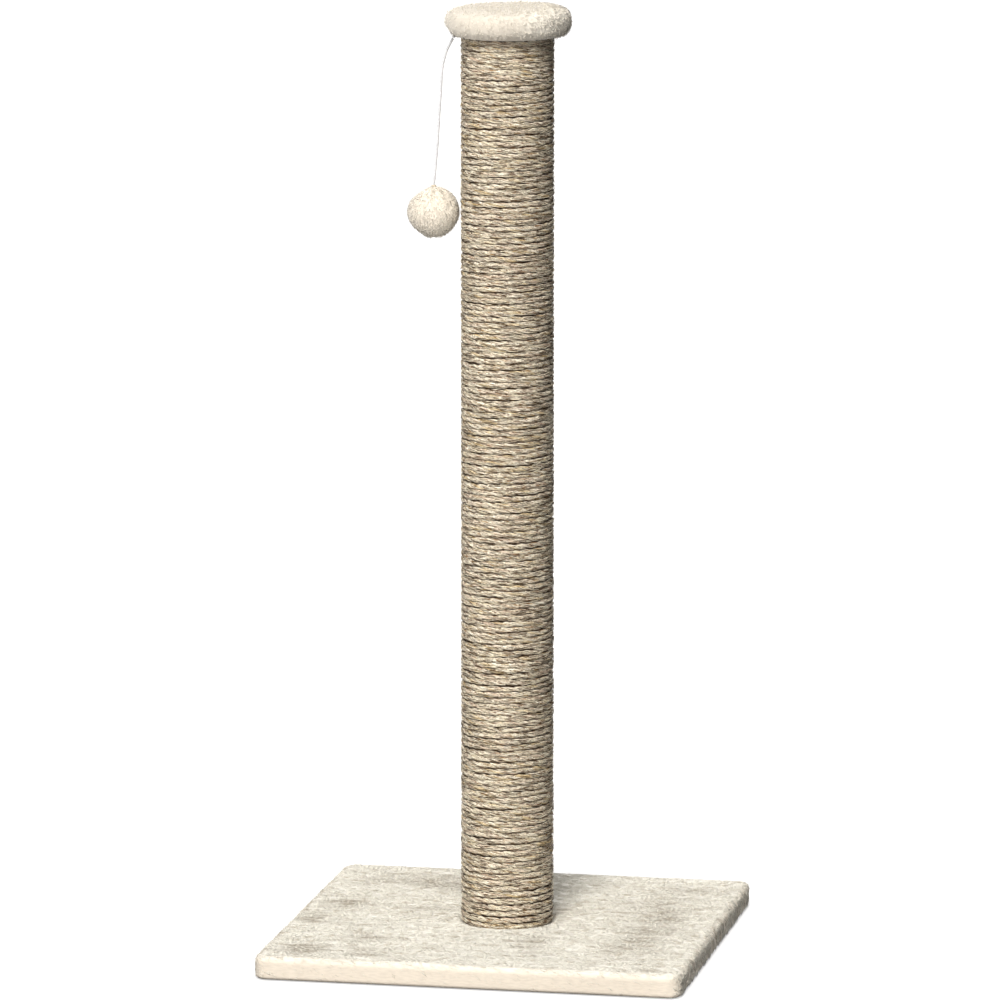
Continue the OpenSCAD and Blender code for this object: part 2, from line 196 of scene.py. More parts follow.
def start_geometry(name, sizes):
    """A new geometry tree with a named input for each size. Returns the tree and its inputs."""
    tree = bpy.data.node_groups.new(name, "GeometryNodeTree")
    tree.interface.new_socket("Geometry", in_out="INPUT", socket_type="NodeSocketGeometry")
    for label, value in sizes.items():
        kind = {int: "NodeSocketInt", float: "NodeSocketFloat", tuple: "NodeSocketVector"}[type(value)]
        tree.interface.new_socket(label, in_out="INPUT", socket_type=kind).default_value = value
    tree.interface.new_socket("Geometry", in_out="OUTPUT", socket_type="NodeSocketGeometry")
    return tree, put(tree, "NodeGroupInput").outputs


def end_geometry(tree, shape, finish):
    """Ends a tree: its shape shaded smooth, made real and given its material."""
    skin = put(tree, "GeometryNodeSetShadeSmooth", {"Geometry": shape})
    real = put(tree, "GeometryNodeRealizeInstances", {"Geometry": skin})
    finished = put(tree, "GeometryNodeSetMaterial", {"Geometry": real, "Material": finish})
    put(tree, "NodeGroupOutput", {"Geometry": finished})
    return tree


# ---- Helpers: meshes ----

def object_of(name, data):
    """An object at the origin for a mesh, a camera or a lamp."""
    made = bpy.data.objects.new(name, data)
    scene.collection.objects.link(made)
    return made


def mesh_of(name, points, faces=(), edges=()):
    """A mesh from lists of points, faces and edges."""
    mesh = bpy.data.meshes.new(name)
    mesh.from_pydata([tuple(p) for p in points], [tuple(e) for e in edges], [tuple(f) for f in faces])
    mesh.update()
    return mesh


def path_mesh(name, points):
    """A mesh of one chain of edges."""
    return mesh_of(name, points, edges=[(i, i + 1) for i in range(len(points) - 1)])


def grow(name, mesh, tree, **sizes):
    """Runs a geometry tree on a mesh and returns the result as a plain object at the origin."""
    piece = object_of(name, mesh)
    modifier = piece.modifiers.new("grow", "NODES")
    modifier.node_group = tree
    for item in tree.interface.items_tree:
        key = item.name.lower().replace(" ", "_")
        if item.in_out == "INPUT" and key in sizes:
            modifier[item.identifier] = sizes[key]
    depsgraph = bpy.context.evaluated_depsgraph_get()
    result = bpy.data.meshes.new_from_object(
        piece.evaluated_get(depsgraph), preserve_all_data_layers=True, depsgraph=depsgraph)
    piece.modifiers.remove(modifier)
    piece.data = result
    return piece


def points_of(mesh):
    """A mesh's points, one row each."""
    return np.array([v.co for v in mesh.vertices])


def place_points(mesh, points):
    """Puts a mesh's points where the rows say."""
    mesh.vertices.foreach_set("co", points.ravel())


def give(mesh, name, values):
    """Stores one number or one vector for each point of a mesh under a name."""
    values = np.asarray(values, np.float32)
    kind, field = ("FLOAT", "value") if values.ndim == 1 else ("FLOAT_VECTOR", "vector")
    mesh.attributes.new(name, kind, "POINT").data.foreach_set(field, values.ravel())


def ramp(values, start, width):
    """0 up to the start, 1 past the width, and straight between."""
    return np.clip((values - start) / width, 0, 1)


def ease(share):
    """Rounds off both ends of a ramp."""
    return share * share * (3 - 2 * share)


def curve_through(points, step):
    """Points a step apart on a smooth curve through the given ones."""
    knots = [Vector(p) for p in points]
    knots = [2 * knots[0] - knots[1]] + knots + [2 * knots[-1] - knots[-2]]
    line = [knots[1]]
    for a, b, c, d in zip(knots, knots[1:], knots[2:], knots[3:]):
        pieces = max(1, round((c - b).length / step))
        for i in range(1, pieces + 1):
            t = i / pieces
            line.append(0.5 * (2 * b + (c - a) * t + (2 * a - 5 * b + 4 * c - d) * t * t
                               + (3 * b - a - 3 * c + d) * t ** 3))
    return line


def wander(count, spacing, size, seed):
    """A smooth random run of count values, with a new random value every so many steps."""
    dice = np.random.default_rng(seed)
    knots = dice.normal(0, size, count // spacing + 3)
    at = np.arange(count) / spacing
    low = at.astype(int)
    t = ease(at - low)
    return knots[low] * (1 - t) + knots[low + 1] * t


def stand_for(piece, node, body):
    """Hides the CAD node that a piece stands for and sets the piece on the body that it rides on."""
    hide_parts(node)
    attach(piece, body)


# ---- Camera: a long lens from well back, a little above and to the right ----

camera = object_of("camera", bpy.data.cameras.new("camera"))
camera.location = (1.28576, -6.47064, 1.56231)
camera.rotation_euler = (math.radians(90 - 9.794), 0, math.radians(11.299))
camera.data.lens = 257.59
camera.data.sensor_width = 36
camera.data.clip_end = 200
scene.camera = camera


# ---- Materials ----

def sisal_material():
    # Sisal, spun and laid in three strands: dry straw-coloured fibres that lie along the rope, with
    # pale ones, grey ones and dark gaps side by side. It shows as short bright and dark dashes,
    # with a dull silky gloss along the fibres.
    made, tree, shader = start_material("laid_sisal_rope", Roughness=0.45, Specular_IOR_Level=0.35)
    fibre = put(tree, ATTRIBUTE, attribute_name="fibre").outputs["Vector"]
    # Fibres are 0.2 mm thick. They are drawn as bundles about 10 mm long and 0.7 mm wide, which still
    # show, with finer hairs and broader yarns. The numbers are spots per metre along and across.
    patterns = []
    for along, across, detail, rough in ((100, 1500, 2.0, 0.62), (130, 3000, 1.0, 0.5), (28, 260, 1.0, 0.5)):
        place = put(tree, VECTOR_MATH, [fibre, (along, across, across)], "MULTIPLY")
        patterns.append(put(tree, NOISE, {"Vector": place, "Scale": 1.0, "Detail": detail,
                                          "Roughness": rough}))
    bundle, hair, yarn = patterns
    straw = tint(tree, linear("#9F7A45"), "#FFFAEC", bundle, 0.36, 0.47)
    grey = tint(tree, straw, "#D8BFAC", yarn, 0.50, 0.72, 0.55)
    yellow = tint(tree, grey, "#DEC58F", yarn, 0.42, 0.28, 0.6)
    flecked = tint(tree, yellow, "#5C3813", hair, 0.46, 0.37, 0.95)
    # between the turns, painted shade: brown below the rope's outer skin, deeper in some places
    outward = put(tree, VECTOR_MATH, [put(tree, COORDINATES).outputs["Object"], (1, 1, 0)], "MULTIPLY")
    radius = put(tree, VECTOR_MATH, [outward], "LENGTH").outputs["Value"]
    painted_gap_shade = put(tree, MATH, [bundle, 1.6 * MM, radius], "MULTIPLY_ADD")
    colour = tint(tree, flecked, "#422306", painted_gap_shade, 43.05 * MM, 42.0 * MM)
    height = put(tree, MATH, [bundle, hair], "ADD")
    dress_shader(tree, shader, colour, height, strength=1.0, relief_mm=0.7)
    return made


def plush_material(name, pile, shade, clump_mm, sheen, depth, stretch=(1, 1, 1), side=None, lit_pile=None):
    # Short polyester pile on a knitted back: soft and dull, with a faint sheen at its edges. Its colour
    # carries
    # painted shade of the nap: paler where the pile leans away and greyer where it is brushed towards the
    # eye.
    made, tree, shader = start_material(name, Roughness=0.95, Sheen_Weight=sheen, Sheen_Roughness=0.5,
                                        Specular_IOR_Level=0.2)
    place = put(tree, VECTOR_MATH, [put(tree, COORDINATES).outputs["Object"], stretch], "MULTIPLY")
    # tufts stand 0.5 mm apart; drawn as locks of about 1.5 mm, which still show
    lock = put(tree, NOISE, {"Vector": place, "Scale": 1 / (1.6 * MM), "Detail": 2.0})
    clump = put(tree, NOISE, {"Vector": place, "Scale": 1 / (clump_mm * MM), "Detail": 4.0,
                              "Roughness": 0.65, "Distortion": 0.4})
    patch = put(tree, RANGE, {"Value": clump, 1: 0.44, 2: 0.68, 4: depth}, clamp=True)
    warm = linear(pile)
    if side:
        # the pile on top is walked on and brushed about, and only there gets the painted nap shade; the pile
        # on the sides all hangs one way, in a warmer tone that is painted warm light
        top = put(tree, ATTRIBUTE, attribute_name="top_not_side").outputs["Fac"]
        patch = put(tree, MATH, [patch, top], "MULTIPLY")
        painted_nap_shade = put(tree, ATTRIBUTE, attribute_name="brushed").outputs["Fac"]
        broken = put(tree, RANGE, {"Value": clump, 1: 0.30, 2: 0.60, 3: 0.3}, clamp=True)
        mark = put(tree, MATH, [painted_nap_shade, broken], "MULTIPLY")
        patch = put(tree, MATH, [patch, mark], "ADD", use_clamp=True)
        warm = put(tree, MIX, {0: top, 6: linear(side), 7: linear(pile)}, data_type="RGBA").outputs[2]
    if lit_pile:
        # where the pile stands up it is painted paler: painted light on that side
        woolly_lit = put(tree, ATTRIBUTE, attribute_name="woolly_lit").outputs["Fac"]
        warm = put(tree, MIX, {0: woolly_lit, 6: warm, 7: linear(lit_pile)}, data_type="RGBA").outputs[2]
    # painted shade: the nap's patches and the brushed places darken the pile towards its shade tone
    toned = put(tree, MIX, {0: patch, 6: warm, 7: linear(shade)}, data_type="RGBA").outputs[2]
    colour = tint(tree, toned, shade, lock, 0.60, 0.35, 0.12)
    dress_shader(tree, shader, colour, lock, strength=0.35, relief_mm=0.5)
    return made


def lock_material(name, tone, sheen):
    # A lock of the same polyester pile: one plain dyed colour, soft and dull.
    return start_material(name, Base_Color=linear(tone), Roughness=0.95, Sheen_Weight=sheen,
                          Sheen_Roughness=0.5, Specular_IOR_Level=0.15)[0]


def fibre_material(name, tone):
    # One loose sisal fibre: a single plain straw tone, stiff, with a dull gloss.
    return start_material(name, Base_Color=linear(tone), Roughness=0.6, Sheen_Weight=0.05)[0]


def elastic_material():
    # Braided elastic: white polyester yarns in a diamond braid over rubber, slightly silky.
    made, tree, shader = start_material("braided_elastic", Roughness=0.55, Sheen_Weight=0.15)
    place = put(tree, COORDINATES).outputs["Object"]
    # filaments are 0.02 mm thick; drawn as strands 0.25 mm apart
    yarn = put(tree, NOISE, {"Vector": place, "Scale": 1 / (0.25 * MM), "Detail": 1.0})
    groove = put(tree, ATTRIBUTE, attribute_name="groove").outputs["Fac"]
    white = tint(tree, linear("#F6F8FC"), "#D4D6DA", yarn, 0.65, 0.35, 0.25)
    # the braid's grooves are painted grey: painted shade between the yarns
    colour = put(tree, MIX, {0: groove, 6: white, 7: linear("#9EA0A4")}, data_type="RGBA")
    dress_shader(tree, shader, colour.outputs[2], yarn, strength=0.4, relief_mm=0.1)
    return made


def particle_board_material():
    # Raw particle board: pressed wood chips of a few millimetres, pale and brown, sanded flat.
    made, tree, shader = start_material("raw_particle_board", Roughness=0.78)
    place = put(tree, COORDINATES).outputs["Object"]
    chip = put(tree, "ShaderNodeTexVoronoi", {"Vector": place, "Scale": 1 / (3 * MM), "Randomness": 1.0})
    chance = put(tree, "ShaderNodeSeparateColor", [chip.outputs["Color"]])
    dust = put(tree, NOISE, {"Vector": place, "Scale": 1 / (0.8 * MM), "Detail": 3.0})
    chips = put(tree, MIX, {0: chance, 6: linear("#A9855A"), 7: linear("#DCC093")}, data_type="RGBA")
    colour = tint(tree, chips.outputs[2], "#7A5836", dust, 0.6, 0.7, 0.6)
    dress_shader(tree, shader, colour, dust, strength=0.3, relief_mm=0.2)
    return made


def zinc_material(name, tone, roughness):
    # Zinc-plated steel: grey-white metal with faint crystal patches that change its gloss.
    made, tree, shader = start_material(name, Metallic=1.0, Base_Color=linear(tone))
    place = put(tree, COORDINATES).outputs["Object"]
    spangle = put(tree, NOISE, {"Vector": place, "Scale": 1 / (1.5 * MM), "Detail": 3.0})
    gloss = put(tree, RANGE, {"Value": spangle, 1: 0.3, 2: 0.7, 3: roughness - 0.1, 4: roughness + 0.12})
    tree.links.new(gloss.outputs[0], shader.inputs["Roughness"])
    return made


def plug_wood_material():
    # Turned softwood: growth rings about 3 mm apart, cut across, on a pale yellow ground.
    made, tree, shader = start_material("turned_softwood", Roughness=0.65)
    place = put(tree, COORDINATES).outputs["Object"]
    heart = put(tree, "ShaderNodeMapping", {"Vector": place, "Location": (0.05, 0.02, 0)})
    rings = put(tree, "ShaderNodeTexWave", {"Vector": heart, "Scale": 1 / (10 * MM), "Distortion": 1.5,
                                            "Detail": 2.0}, wave_type="RINGS", rings_direction="Z")
    colour = put(tree, MIX, {0: rings.outputs["Fac"], 6: linear("#E3C898"), 7: linear("#C09763")},
                 data_type="RGBA")
    tree.links.new(colour.outputs[2], shader.inputs["Base Color"])
    return made


def foam_material():
    # Open-cell foam: pale yellow, with painted shade in its small cells about 1 mm across.
    made, tree, shader = start_material("open_cell_foam", Roughness=0.95)
    place = put(tree, COORDINATES).outputs["Object"]
    cell = put(tree, "ShaderNodeTexVoronoi", {"Vector": place, "Scale": 1 / (1.0 * MM)}).outputs["Distance"]
    colour = tint(tree, linear("#F6E9C4"), "#C9B27C", cell, 0.45, 0.15)
    dress_shader(tree, shader, colour, cell, strength=0.6, relief_mm=0.3)
    return made


sisal = sisal_material()
# the base's sides take a warmer tone: painted warm light
base_plush = plush_material("short_pile_plush_base", "#ECEAE4", "#A39B90", clump_mm=10, sheen=0.15,
                            stretch=(0.22, 1.0, 1), side="#EFE7DC", depth=0.5)
# cap and ball are painted paler where their pile stands up: painted light
cap_plush = plush_material("short_pile_plush_cap", "#DDD7CE", "#CAC3B9", clump_mm=7, sheen=0.5,
                           lit_pile="#FAF6EE", depth=0.3)
ball_plush = plush_material("short_pile_plush_ball", "#EAE3D9", "#D6CDC1", clump_mm=6, sheen=0.5,
                            lit_pile="#FCF8F0", depth=0.3)
# the shaded lock is a darker copy of the pale one: painted shade, for locks whose nap turns from the light
pale_lock = lock_material("pile_lock_pale", "#EBE9E2", sheen=0.15)
shaded_lock = lock_material("pile_lock_shaded", "#D6D1C7", sheen=0.15)
cream_lock = lock_material("pile_lock_cream", "#F2EDE4", sheen=0.5)
pale_fibre = fibre_material("sisal_fibre_pale", "#FFF8E6")
dark_fibre = fibre_material("sisal_fibre_dark", "#5E4828")
elastic = elastic_material()
# Moulded rubber: near-black and dull, with the fine stipple of its mould.
rubber = two_tone_material("moulded_rubber", "#3A3A3A", "#585654", grain_mm=0.6, bump=(0.4, 0.1),
                           Roughness=0.72)
# Spirally wound cardboard: brown paper plies with short dark and pale fibres.
cardboard = two_tone_material("wound_cardboard", "#8F6F4A", "#C6A57A", grain_mm=2.5, bump=(0.2, 0.2),
                              detail=3.0, stretch=(1, 1, 5), Roughness=0.85)
# Loose polyester filling: white tangled fibre, with painted shade as soft grey in its hollows.
filling = two_tone_material("polyester_filling", "#DADADA", "#FFFFFF", grain_mm=3, bump=(0.8, 1),
                            detail=4.0, distortion=2.0, Roughness=0.9, Sheen_Weight=0.3)
# Spun sewing thread: cream cotton plies about 0.3 mm thick, matt with a slight fuzz.
thread = two_tone_material("spun_sewing_thread", "#CFC4B0", "#F1E9DA", grain_mm=0.3, bump=(0.5, 0.1),
                           detail=1.0, Roughness=0.8, Sheen_Weight=0.2)

finish_of_slot = {
    "sisal": sisal, "base_plush": base_plush, "cap_plush": cap_plush, "ball_plush": ball_plush,
    "elastic": elastic, "pad_rubber": rubber, "cardboard": cardboard, "fibre_fill": filling,
    "sewing_thread": thread, "foam": foam_material(), "plug_wood": plug_wood_material(),
    "particle_board": particle_board_material(),
    "staple_steel": zinc_material("galvanised_staple_wire", "#C4C7CA", roughness=0.38),
    "zinc_steel": zinc_material("zinc_plated_steel", "#C9CCD0", roughness=0.30),
}
for cad_piece in frame["nodes"].values():
    for held in cad_piece.material_slots:
        held.material = finish_of_slot[held.material.name]


# ---- Elastic cord of the toy ----

def braided_cord_tree():
    """A round cord along an edge path, its skin lifted and sunk in a diamond braid."""
    tree, size = start_geometry("braided cord", {
        "Cord radius": cord_d / 2, "Yarn relief": 0.11 * MM, "Braid pitch": 5.2 * MM, "Sides": 24,
        "Yarns": 4.0})
    path = put(tree, PATH, {"Mesh": size["Geometry"]})
    reach = put(tree, "GeometryNodeSplineParameter").outputs["Length"]
    marked = put(tree, STORE, {"Geometry": path, "Name": "along", "Value": reach})
    ring = put(tree, RING, {"Resolution": size["Sides"], "Radius": size["Cord radius"]})
    step = put(tree, MATH, [put(tree, "GeometryNodeInputIndex"), size["Sides"]], "DIVIDE")
    marked_ring = put(tree, STORE, {"Geometry": ring, "Name": "around", "Value": step})
    tube = put(tree, SWEEP, {"Curve": marked, "Profile Curve": marked_ring, "Fill Caps": True})
    along = put(tree, READ, {"Name": "along"})
    around = put(tree, READ, {"Name": "around"})
    turns = put(tree, MATH, [along, size["Braid pitch"]], "DIVIDE")
    # two sets of yarns that wind opposite ways
    waves = []
    for sign in ("ADD", "SUBTRACT"):
        place = put(tree, MATH, [around, turns], sign)
        angle = put(tree, MATH, [place, size["Yarns"]], "MULTIPLY")
        half = put(tree, MATH, [angle, math.pi], "MULTIPLY")
        waves.append(put(tree, MATH, [half], "SINE"))
    woven = put(tree, MATH, waves, "MULTIPLY")
    depth = put(tree, MATH, [woven], "ABSOLUTE")
    sunk = put(tree, MATH, [depth, -0.5], "ADD")
    lift = put(tree, MATH, [sunk, size["Yarn relief"]], "MULTIPLY")
    push = put(tree, VECTOR_MATH, {0: put(tree, "GeometryNodeInputNormal"), "Scale": lift}, "SCALE")
    relief = put(tree, MOVE, {"Geometry": tube, "Offset": push})
    # where the braid is sunk, kept for the painted shade in its grooves
    groove = put(tree, RANGE, {"Value": depth, 1: 0.35, 2: 0.0}, clamp=True)
    kept = put(tree, STORE, {"Geometry": relief, "Name": "groove", "Value": groove})
    return end_geometry(tree, kept, elastic)


braid = braided_cord_tree()
braid_step = 0.35 * MM
# each point's share of the way from the knot to the cord's end, sideways and then down
cord_shares = [
    (0.055, 0.014), (0.12, 0.03), (0.20, 0.05), (0.34, 0.09), (0.48, 0.15), (0.56, 0.20), (0.61, 0.27),
    (0.66, 0.39), (0.72, 0.50), (0.78, 0.64), (0.84, 0.76), (0.93, 0.90), (1, 1)]
cord_route = [Vector((knot_centre.x + across * (cord_end.x - knot_centre.x), 0,
                      knot_centre.z + down * (cord_end.z - knot_centre.z))) for across, down in cord_shares]
cord_line = curve_through(cord_route, braid_step)
cord = grow("elastic_cord_braided", path_mesh("cord_path", cord_line), braid)

# the held end: level past its staple, then down at a slant to the knot
staple_x = -24.55 * MM
held_start_x = staple_x + 6 * MM
held_z = 861.8 * MM
held_slant = math.radians(24)
held_reach = 1.825 * MM
held_route = [
    (held_start_x, 0, held_z), (staple_x, 0, held_z), (knot_centre.x + 14 * MM, 0, held_z),
    (knot_centre.x + 7 * MM, 0, held_z - 1 * MM),
    (knot_centre.x + held_reach * math.cos(held_slant), 0, knot_centre.z + held_reach * math.sin(held_slant))]
held_cord = grow("held_cord_braided", path_mesh("held_path", curve_through(held_route, braid_step)), braid)


def knot_route():
    """An overhand knot: a closed path that goes round twice and crosses itself three times."""
    steps = 96
    middle_r, lobe_r, height = 0.72 * MM, 0.26 * MM, 0.34 * MM
    route = []
    for i in range(steps + 1):
        t = 2 * math.pi * i / steps
        r = middle_r + lobe_r * math.cos(3 * t)
        z = height * math.sin(3 * t)
        route.append(knot_centre + Vector((r * math.cos(2 * t), r * math.sin(2 * t), z)))
    return route


knot = grow("rim_knot_tied", path_mesh("knot_path", knot_route()), braid,
            cord_radius=0.85 * MM, yarn_relief=0.06 * MM, sides=16)

# the neck: from the knot inside the ball up to the free cord
neck_route = [(cord_end.x, 0, z * MM) for z in (707.3, 712, 716, 718.67)]
neck = grow("cord_neck_braided", path_mesh("neck_path", curve_through(neck_route, braid_step)), braid)

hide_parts("elastic_cord")
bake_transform(cord)
stand_for(held_cord, "held_cord_end", "base")
stand_for(knot, "rim_knot", "swing_knot")
stand_for(neck, "ball_knot", "ball")


# ---- Sisal rope: three strands laid round each other and wound on the tube ----

def rope_route():
    """The rope's centre line, turn by turn up the post, with the length along it."""
    ring_spacing = 2.4 * MM
    first_turn, last_turn = 0.04, rope_turns - 0.1
    length = (last_turn - first_turn) * 2 * math.pi * rope_axis_r
    count = int(length / ring_spacing)
    turn = np.linspace(first_turn, last_turn, count)
    from_end = np.minimum(turn, rope_turns - turn)
    # the first and last turns lie level and step up at the back; the others climb evenly
    step_share, level_turns = 0.14, 7
    level = np.floor(turn) + ease(ramp(turn % 1, 1 - step_share, step_share))
    end_share = np.clip(1 - from_end / level_turns, 0, 1)
    height = rope_first_z + rope_step * (turn * (1 - end_share) + level * end_share)
    # no turn lies quite straight: it wanders up and down every 30 mm or so, and a little in and out
    calm = np.clip(from_end / 2, 0.15, 1)
    height = height + wander(count, spacing=14, size=0.24 * MM, seed=11) * calm
    height = height + wander(count, spacing=5, size=0.14 * MM, seed=12) * calm
    radius = rope_axis_r + wander(count, spacing=22, size=0.10 * MM, seed=13) - 0.05 * MM
    angle = math.pi / 2 + 2 * math.pi * turn
    points = np.stack([radius * np.cos(angle), radius * np.sin(angle), height], 1)
    mesh = path_mesh("rope_route", points)
    give(mesh, "centre", points)
    give(mesh, "along", np.linspace(0, length, count))
    return mesh


def strand_tree():
    """One strand of a laid rope, twisting round the rope's centre line."""
    tree, size = start_geometry("laid strand", {
        "Strand": 0.0, "Lay": strand_lay, "Offset": strand_offset, "Strand radius": strand_r, "Sides": 6,
        "Flattening": rope_flattening, "Uneven": 0.14, "Stray": 0.22 * MM, "Fibre twist": 0.35})
    centre = put(tree, READ, {"Name": "centre"}, data_type="FLOAT_VECTOR")
    along = put(tree, READ, {"Name": "along"})
    path = put(tree, PATH, {"Mesh": size["Geometry"]})
    # angle of the strand round the rope
    laid = put(tree, MATH, [along, size["Lay"]], "DIVIDE")
    third = put(tree, MATH, [size["Strand"], 1 / strand_count], "MULTIPLY")
    turns = put(tree, MATH, [third, laid], "SUBTRACT")
    twist = put(tree, MATH, [turns, 2 * math.pi], "MULTIPLY")
    # outward and upward parts of the strand's place
    out_share = put(tree, MATH, [twist], "COSINE")
    up_share = put(tree, MATH, [twist], "SINE")
    flat = put(tree, VECTOR_MATH, [centre, (1, 1, 0)], "MULTIPLY")
    outward = put(tree, VECTOR_MATH, [flat], "NORMALIZE")
    out_part = put(tree, VECTOR_MATH, {0: outward, "Scale": out_share}, "SCALE")
    up_more = put(tree, MATH, [up_share, size["Flattening"]], "MULTIPLY")
    up_part = put(tree, COMBINE, {"Z": up_more})
    direction = put(tree, VECTOR_MATH, [out_part, up_part], "ADD")
    offset = put(tree, VECTOR_MATH, {0: direction, "Scale": size["Offset"]}, "SCALE")
    # the strand strays a little from its place every few millimetres, and is spun unevenly
    apart = put(tree, COMBINE, {"Y": size["Strand"]})
    own = put(tree, VECTOR_MATH, [centre, apart], "ADD")
    drift = put(tree, NOISE, {"Vector": own, "Scale": 1 / (7 * MM), "Detail": 1.0}).outputs["Color"]
    middle = put(tree, VECTOR_MATH, [drift, (-0.5, -0.5, -0.5)], "ADD")
    # the noise mostly stays within a quarter of its middle
    far = put(tree, MATH, [size["Stray"], 4.0], "MULTIPLY")
    strayed = put(tree, VECTOR_MATH, {0: middle, "Scale": far}, "SCALE")
    place_off = put(tree, VECTOR_MATH, [offset, strayed], "ADD")
    moved = put(tree, MOVE, {"Geometry": path, "Offset": place_off})
    spot = put(tree, MATH, [along, 1 / (9 * MM)], "MULTIPLY")
    place = put(tree, COMBINE, {"X": spot, "Y": size["Strand"]})
    lump = put(tree, NOISE, {"Vector": place, "Scale": 1.0, "Detail": 1.0})
    swing = put(tree, MATH, [lump, -0.5], "ADD")
    swell = put(tree, MATH, [swing, size["Uneven"]], "MULTIPLY")
    thickness = put(tree, MATH, [swell, 2.0, 1.0], "MULTIPLY_ADD")
    ring = put(tree, RING, {"Resolution": size["Sides"], "Radius": size["Strand radius"]})
    tube = put(tree, SWEEP, {"Curve": moved, "Profile Curve": ring, "Scale": thickness, "Fill Caps": True})
    # fibre: how far along the rope, then across it, turned part of the way with the strand
    across = put(tree, VECTOR_MATH, [put(tree, "GeometryNodeInputPosition"), centre], "SUBTRACT")
    outwards = put(tree, VECTOR_MATH, [across, outward], "DOT_PRODUCT").outputs["Value"]
    upwards = put(tree, "ShaderNodeSeparateXYZ", [across]).outputs["Z"]
    straight = put(tree, COMBINE, {"X": along, "Y": outwards, "Z": upwards})
    untwist = put(tree, MATH, [twist, size["Fibre twist"]], "MULTIPLY")
    turned = put(tree, "ShaderNodeVectorRotate", {"Vector": straight, "Angle": untwist},
                 rotation_type="X_AXIS", invert=True)
    fibre = put(tree, VECTOR_MATH, [turned, apart], "ADD")
    kept = put(tree, STORE, {"Geometry": tube, "Name": "fibre", "Value": fibre}, data_type="FLOAT_VECTOR")
    return end_geometry(tree, kept, sisal)


route = rope_route()
laid_strand = strand_tree()
for number in range(strand_count):
    strand = grow(f"sisal_strand_{number + 1}", route, laid_strand, strand=float(number))
    for spare in ("centre", "along"):
        strand.data.attributes.remove(strand.data.attributes[spare])
    stand_for(strand, "sisal_rope", "base")


def loose_fibre_tree(name, finish):
    """Single fibres that have worked loose: short arcs that lie round the rope's winding at small tilts.
    Real ones are 0.2 mm thick and are drawn twice as thick, so that they show."""
    tree, size = start_geometry(name, {
        "Fibres": 7000, "Fibre length": 10 * MM, "Fibre thickness": 0.4 * MM, "Winding radius": rope_outer_r,
        "Bottom": (0.0, 0.0, 22 * MM), "Top": (0.0, 0.0, 857 * MM), "Tilt": 0.20, "Seed": 1})
    spread = put(tree, "GeometryNodeMeshLine", {"Count": size["Fibres"], "Start Location": size["Bottom"],
                                                "Offset": size["Top"]}, mode="END_POINTS")
    sweep = put(tree, MATH, [size["Fibre length"], size["Winding radius"]], "DIVIDE")
    start = put(tree, MATH, [sweep, -0.5], "MULTIPLY")
    arc = put(tree, "GeometryNodeCurveArc", {"Resolution": 4, "Radius": size["Winding radius"],
                                             "Start Angle": start, "Sweep Angle": sweep})
    half = put(tree, MATH, [size["Fibre thickness"], 0.5], "MULTIPLY")
    ring = put(tree, RING, {"Resolution": 3, "Radius": half})
    fibre = put(tree, SWEEP, {"Curve": arc, "Profile Curve": ring, "Fill Caps": True})
    # each fibre's own tilt, place round the post and closeness to the rope
    least = put(tree, MATH, [size["Tilt"], -1.0], "MULTIPLY")
    own = []
    for low, high, further in ((least, size["Tilt"], 0.0), (0.0, 2 * math.pi, 100.0), (0.990, 1.004, 200.0)):
        seed = put(tree, MATH, [size["Seed"], further], "ADD")
        own.append(put(tree, RANDOM, {2: low, 3: high, "Seed": seed}, data_type="FLOAT").outputs[1])
    tilt, round_post, closeness = own
    facing = put(tree, COMBINE, {"X": tilt, "Z": round_post})
    turned = put(tree, "FunctionNodeEulerToRotation", [facing])
    laid = put(tree, "GeometryNodeInstanceOnPoints", {"Points": spread, "Instance": fibre, "Rotation": turned,
                                                      "Scale": closeness})
    return end_geometry(tree, laid, finish)


seed_point = mesh_of("seed_point", [(0, 0, 0)])
for tone, finish, count, seed in (("pale", pale_fibre, 7000, 1), ("dark", dark_fibre, 4500, 2)):
    loose_fibres = grow("sisal_fibres_" + tone, seed_point, loose_fibre_tree("loose fibres " + tone, finish),
                        fibres=count, seed=seed)
    stand_for(loose_fibres, "sisal_rope", "base")


# ---- Plush ----

def pile_relief_tree(name, finish):
    """Raises and sinks a plush skin in soft clumps and small locks, as brushed pile stands."""
    tree, size = start_geometry(name, {
        "Clump size": 9 * MM, "Clump height": 0.22 * MM, "Lock size": 3.2 * MM, "Lock height": 0.10 * MM,
        "Stretch": (1.0, 1.0, 1.0)})
    place = put(tree, VECTOR_MATH, [put(tree, "GeometryNodeInputPosition"), size["Stretch"]], "MULTIPLY")
    heights = []
    for part in ("Clump", "Lock"):
        finer = put(tree, MATH, [1.0, size[part + " size"]], "DIVIDE")
        bumps = put(tree, NOISE, {"Vector": place, "Scale": finer, "Detail": 1.0})
        # up and down from the noise's middle, and stretched to the full height
        middle = put(tree, MATH, [bumps, -0.5], "ADD")
        both_ways = put(tree, MATH, [middle, 2.5], "MULTIPLY")
        heights.append(put(tree, MATH, [both_ways, size[part + " height"]], "MULTIPLY"))
    lift = put(tree, MATH, heights, "ADD")
    free = put(tree, MATH, [lift, put(tree, READ, {"Name": "loose"})], "MULTIPLY")
    push = put(tree, VECTOR_MATH, {0: put(tree, "GeometryNodeInputNormal"), "Scale": free}, "SCALE")
    return end_geometry(tree, put(tree, MOVE, {"Geometry": size["Geometry"], "Offset": push}), finish)


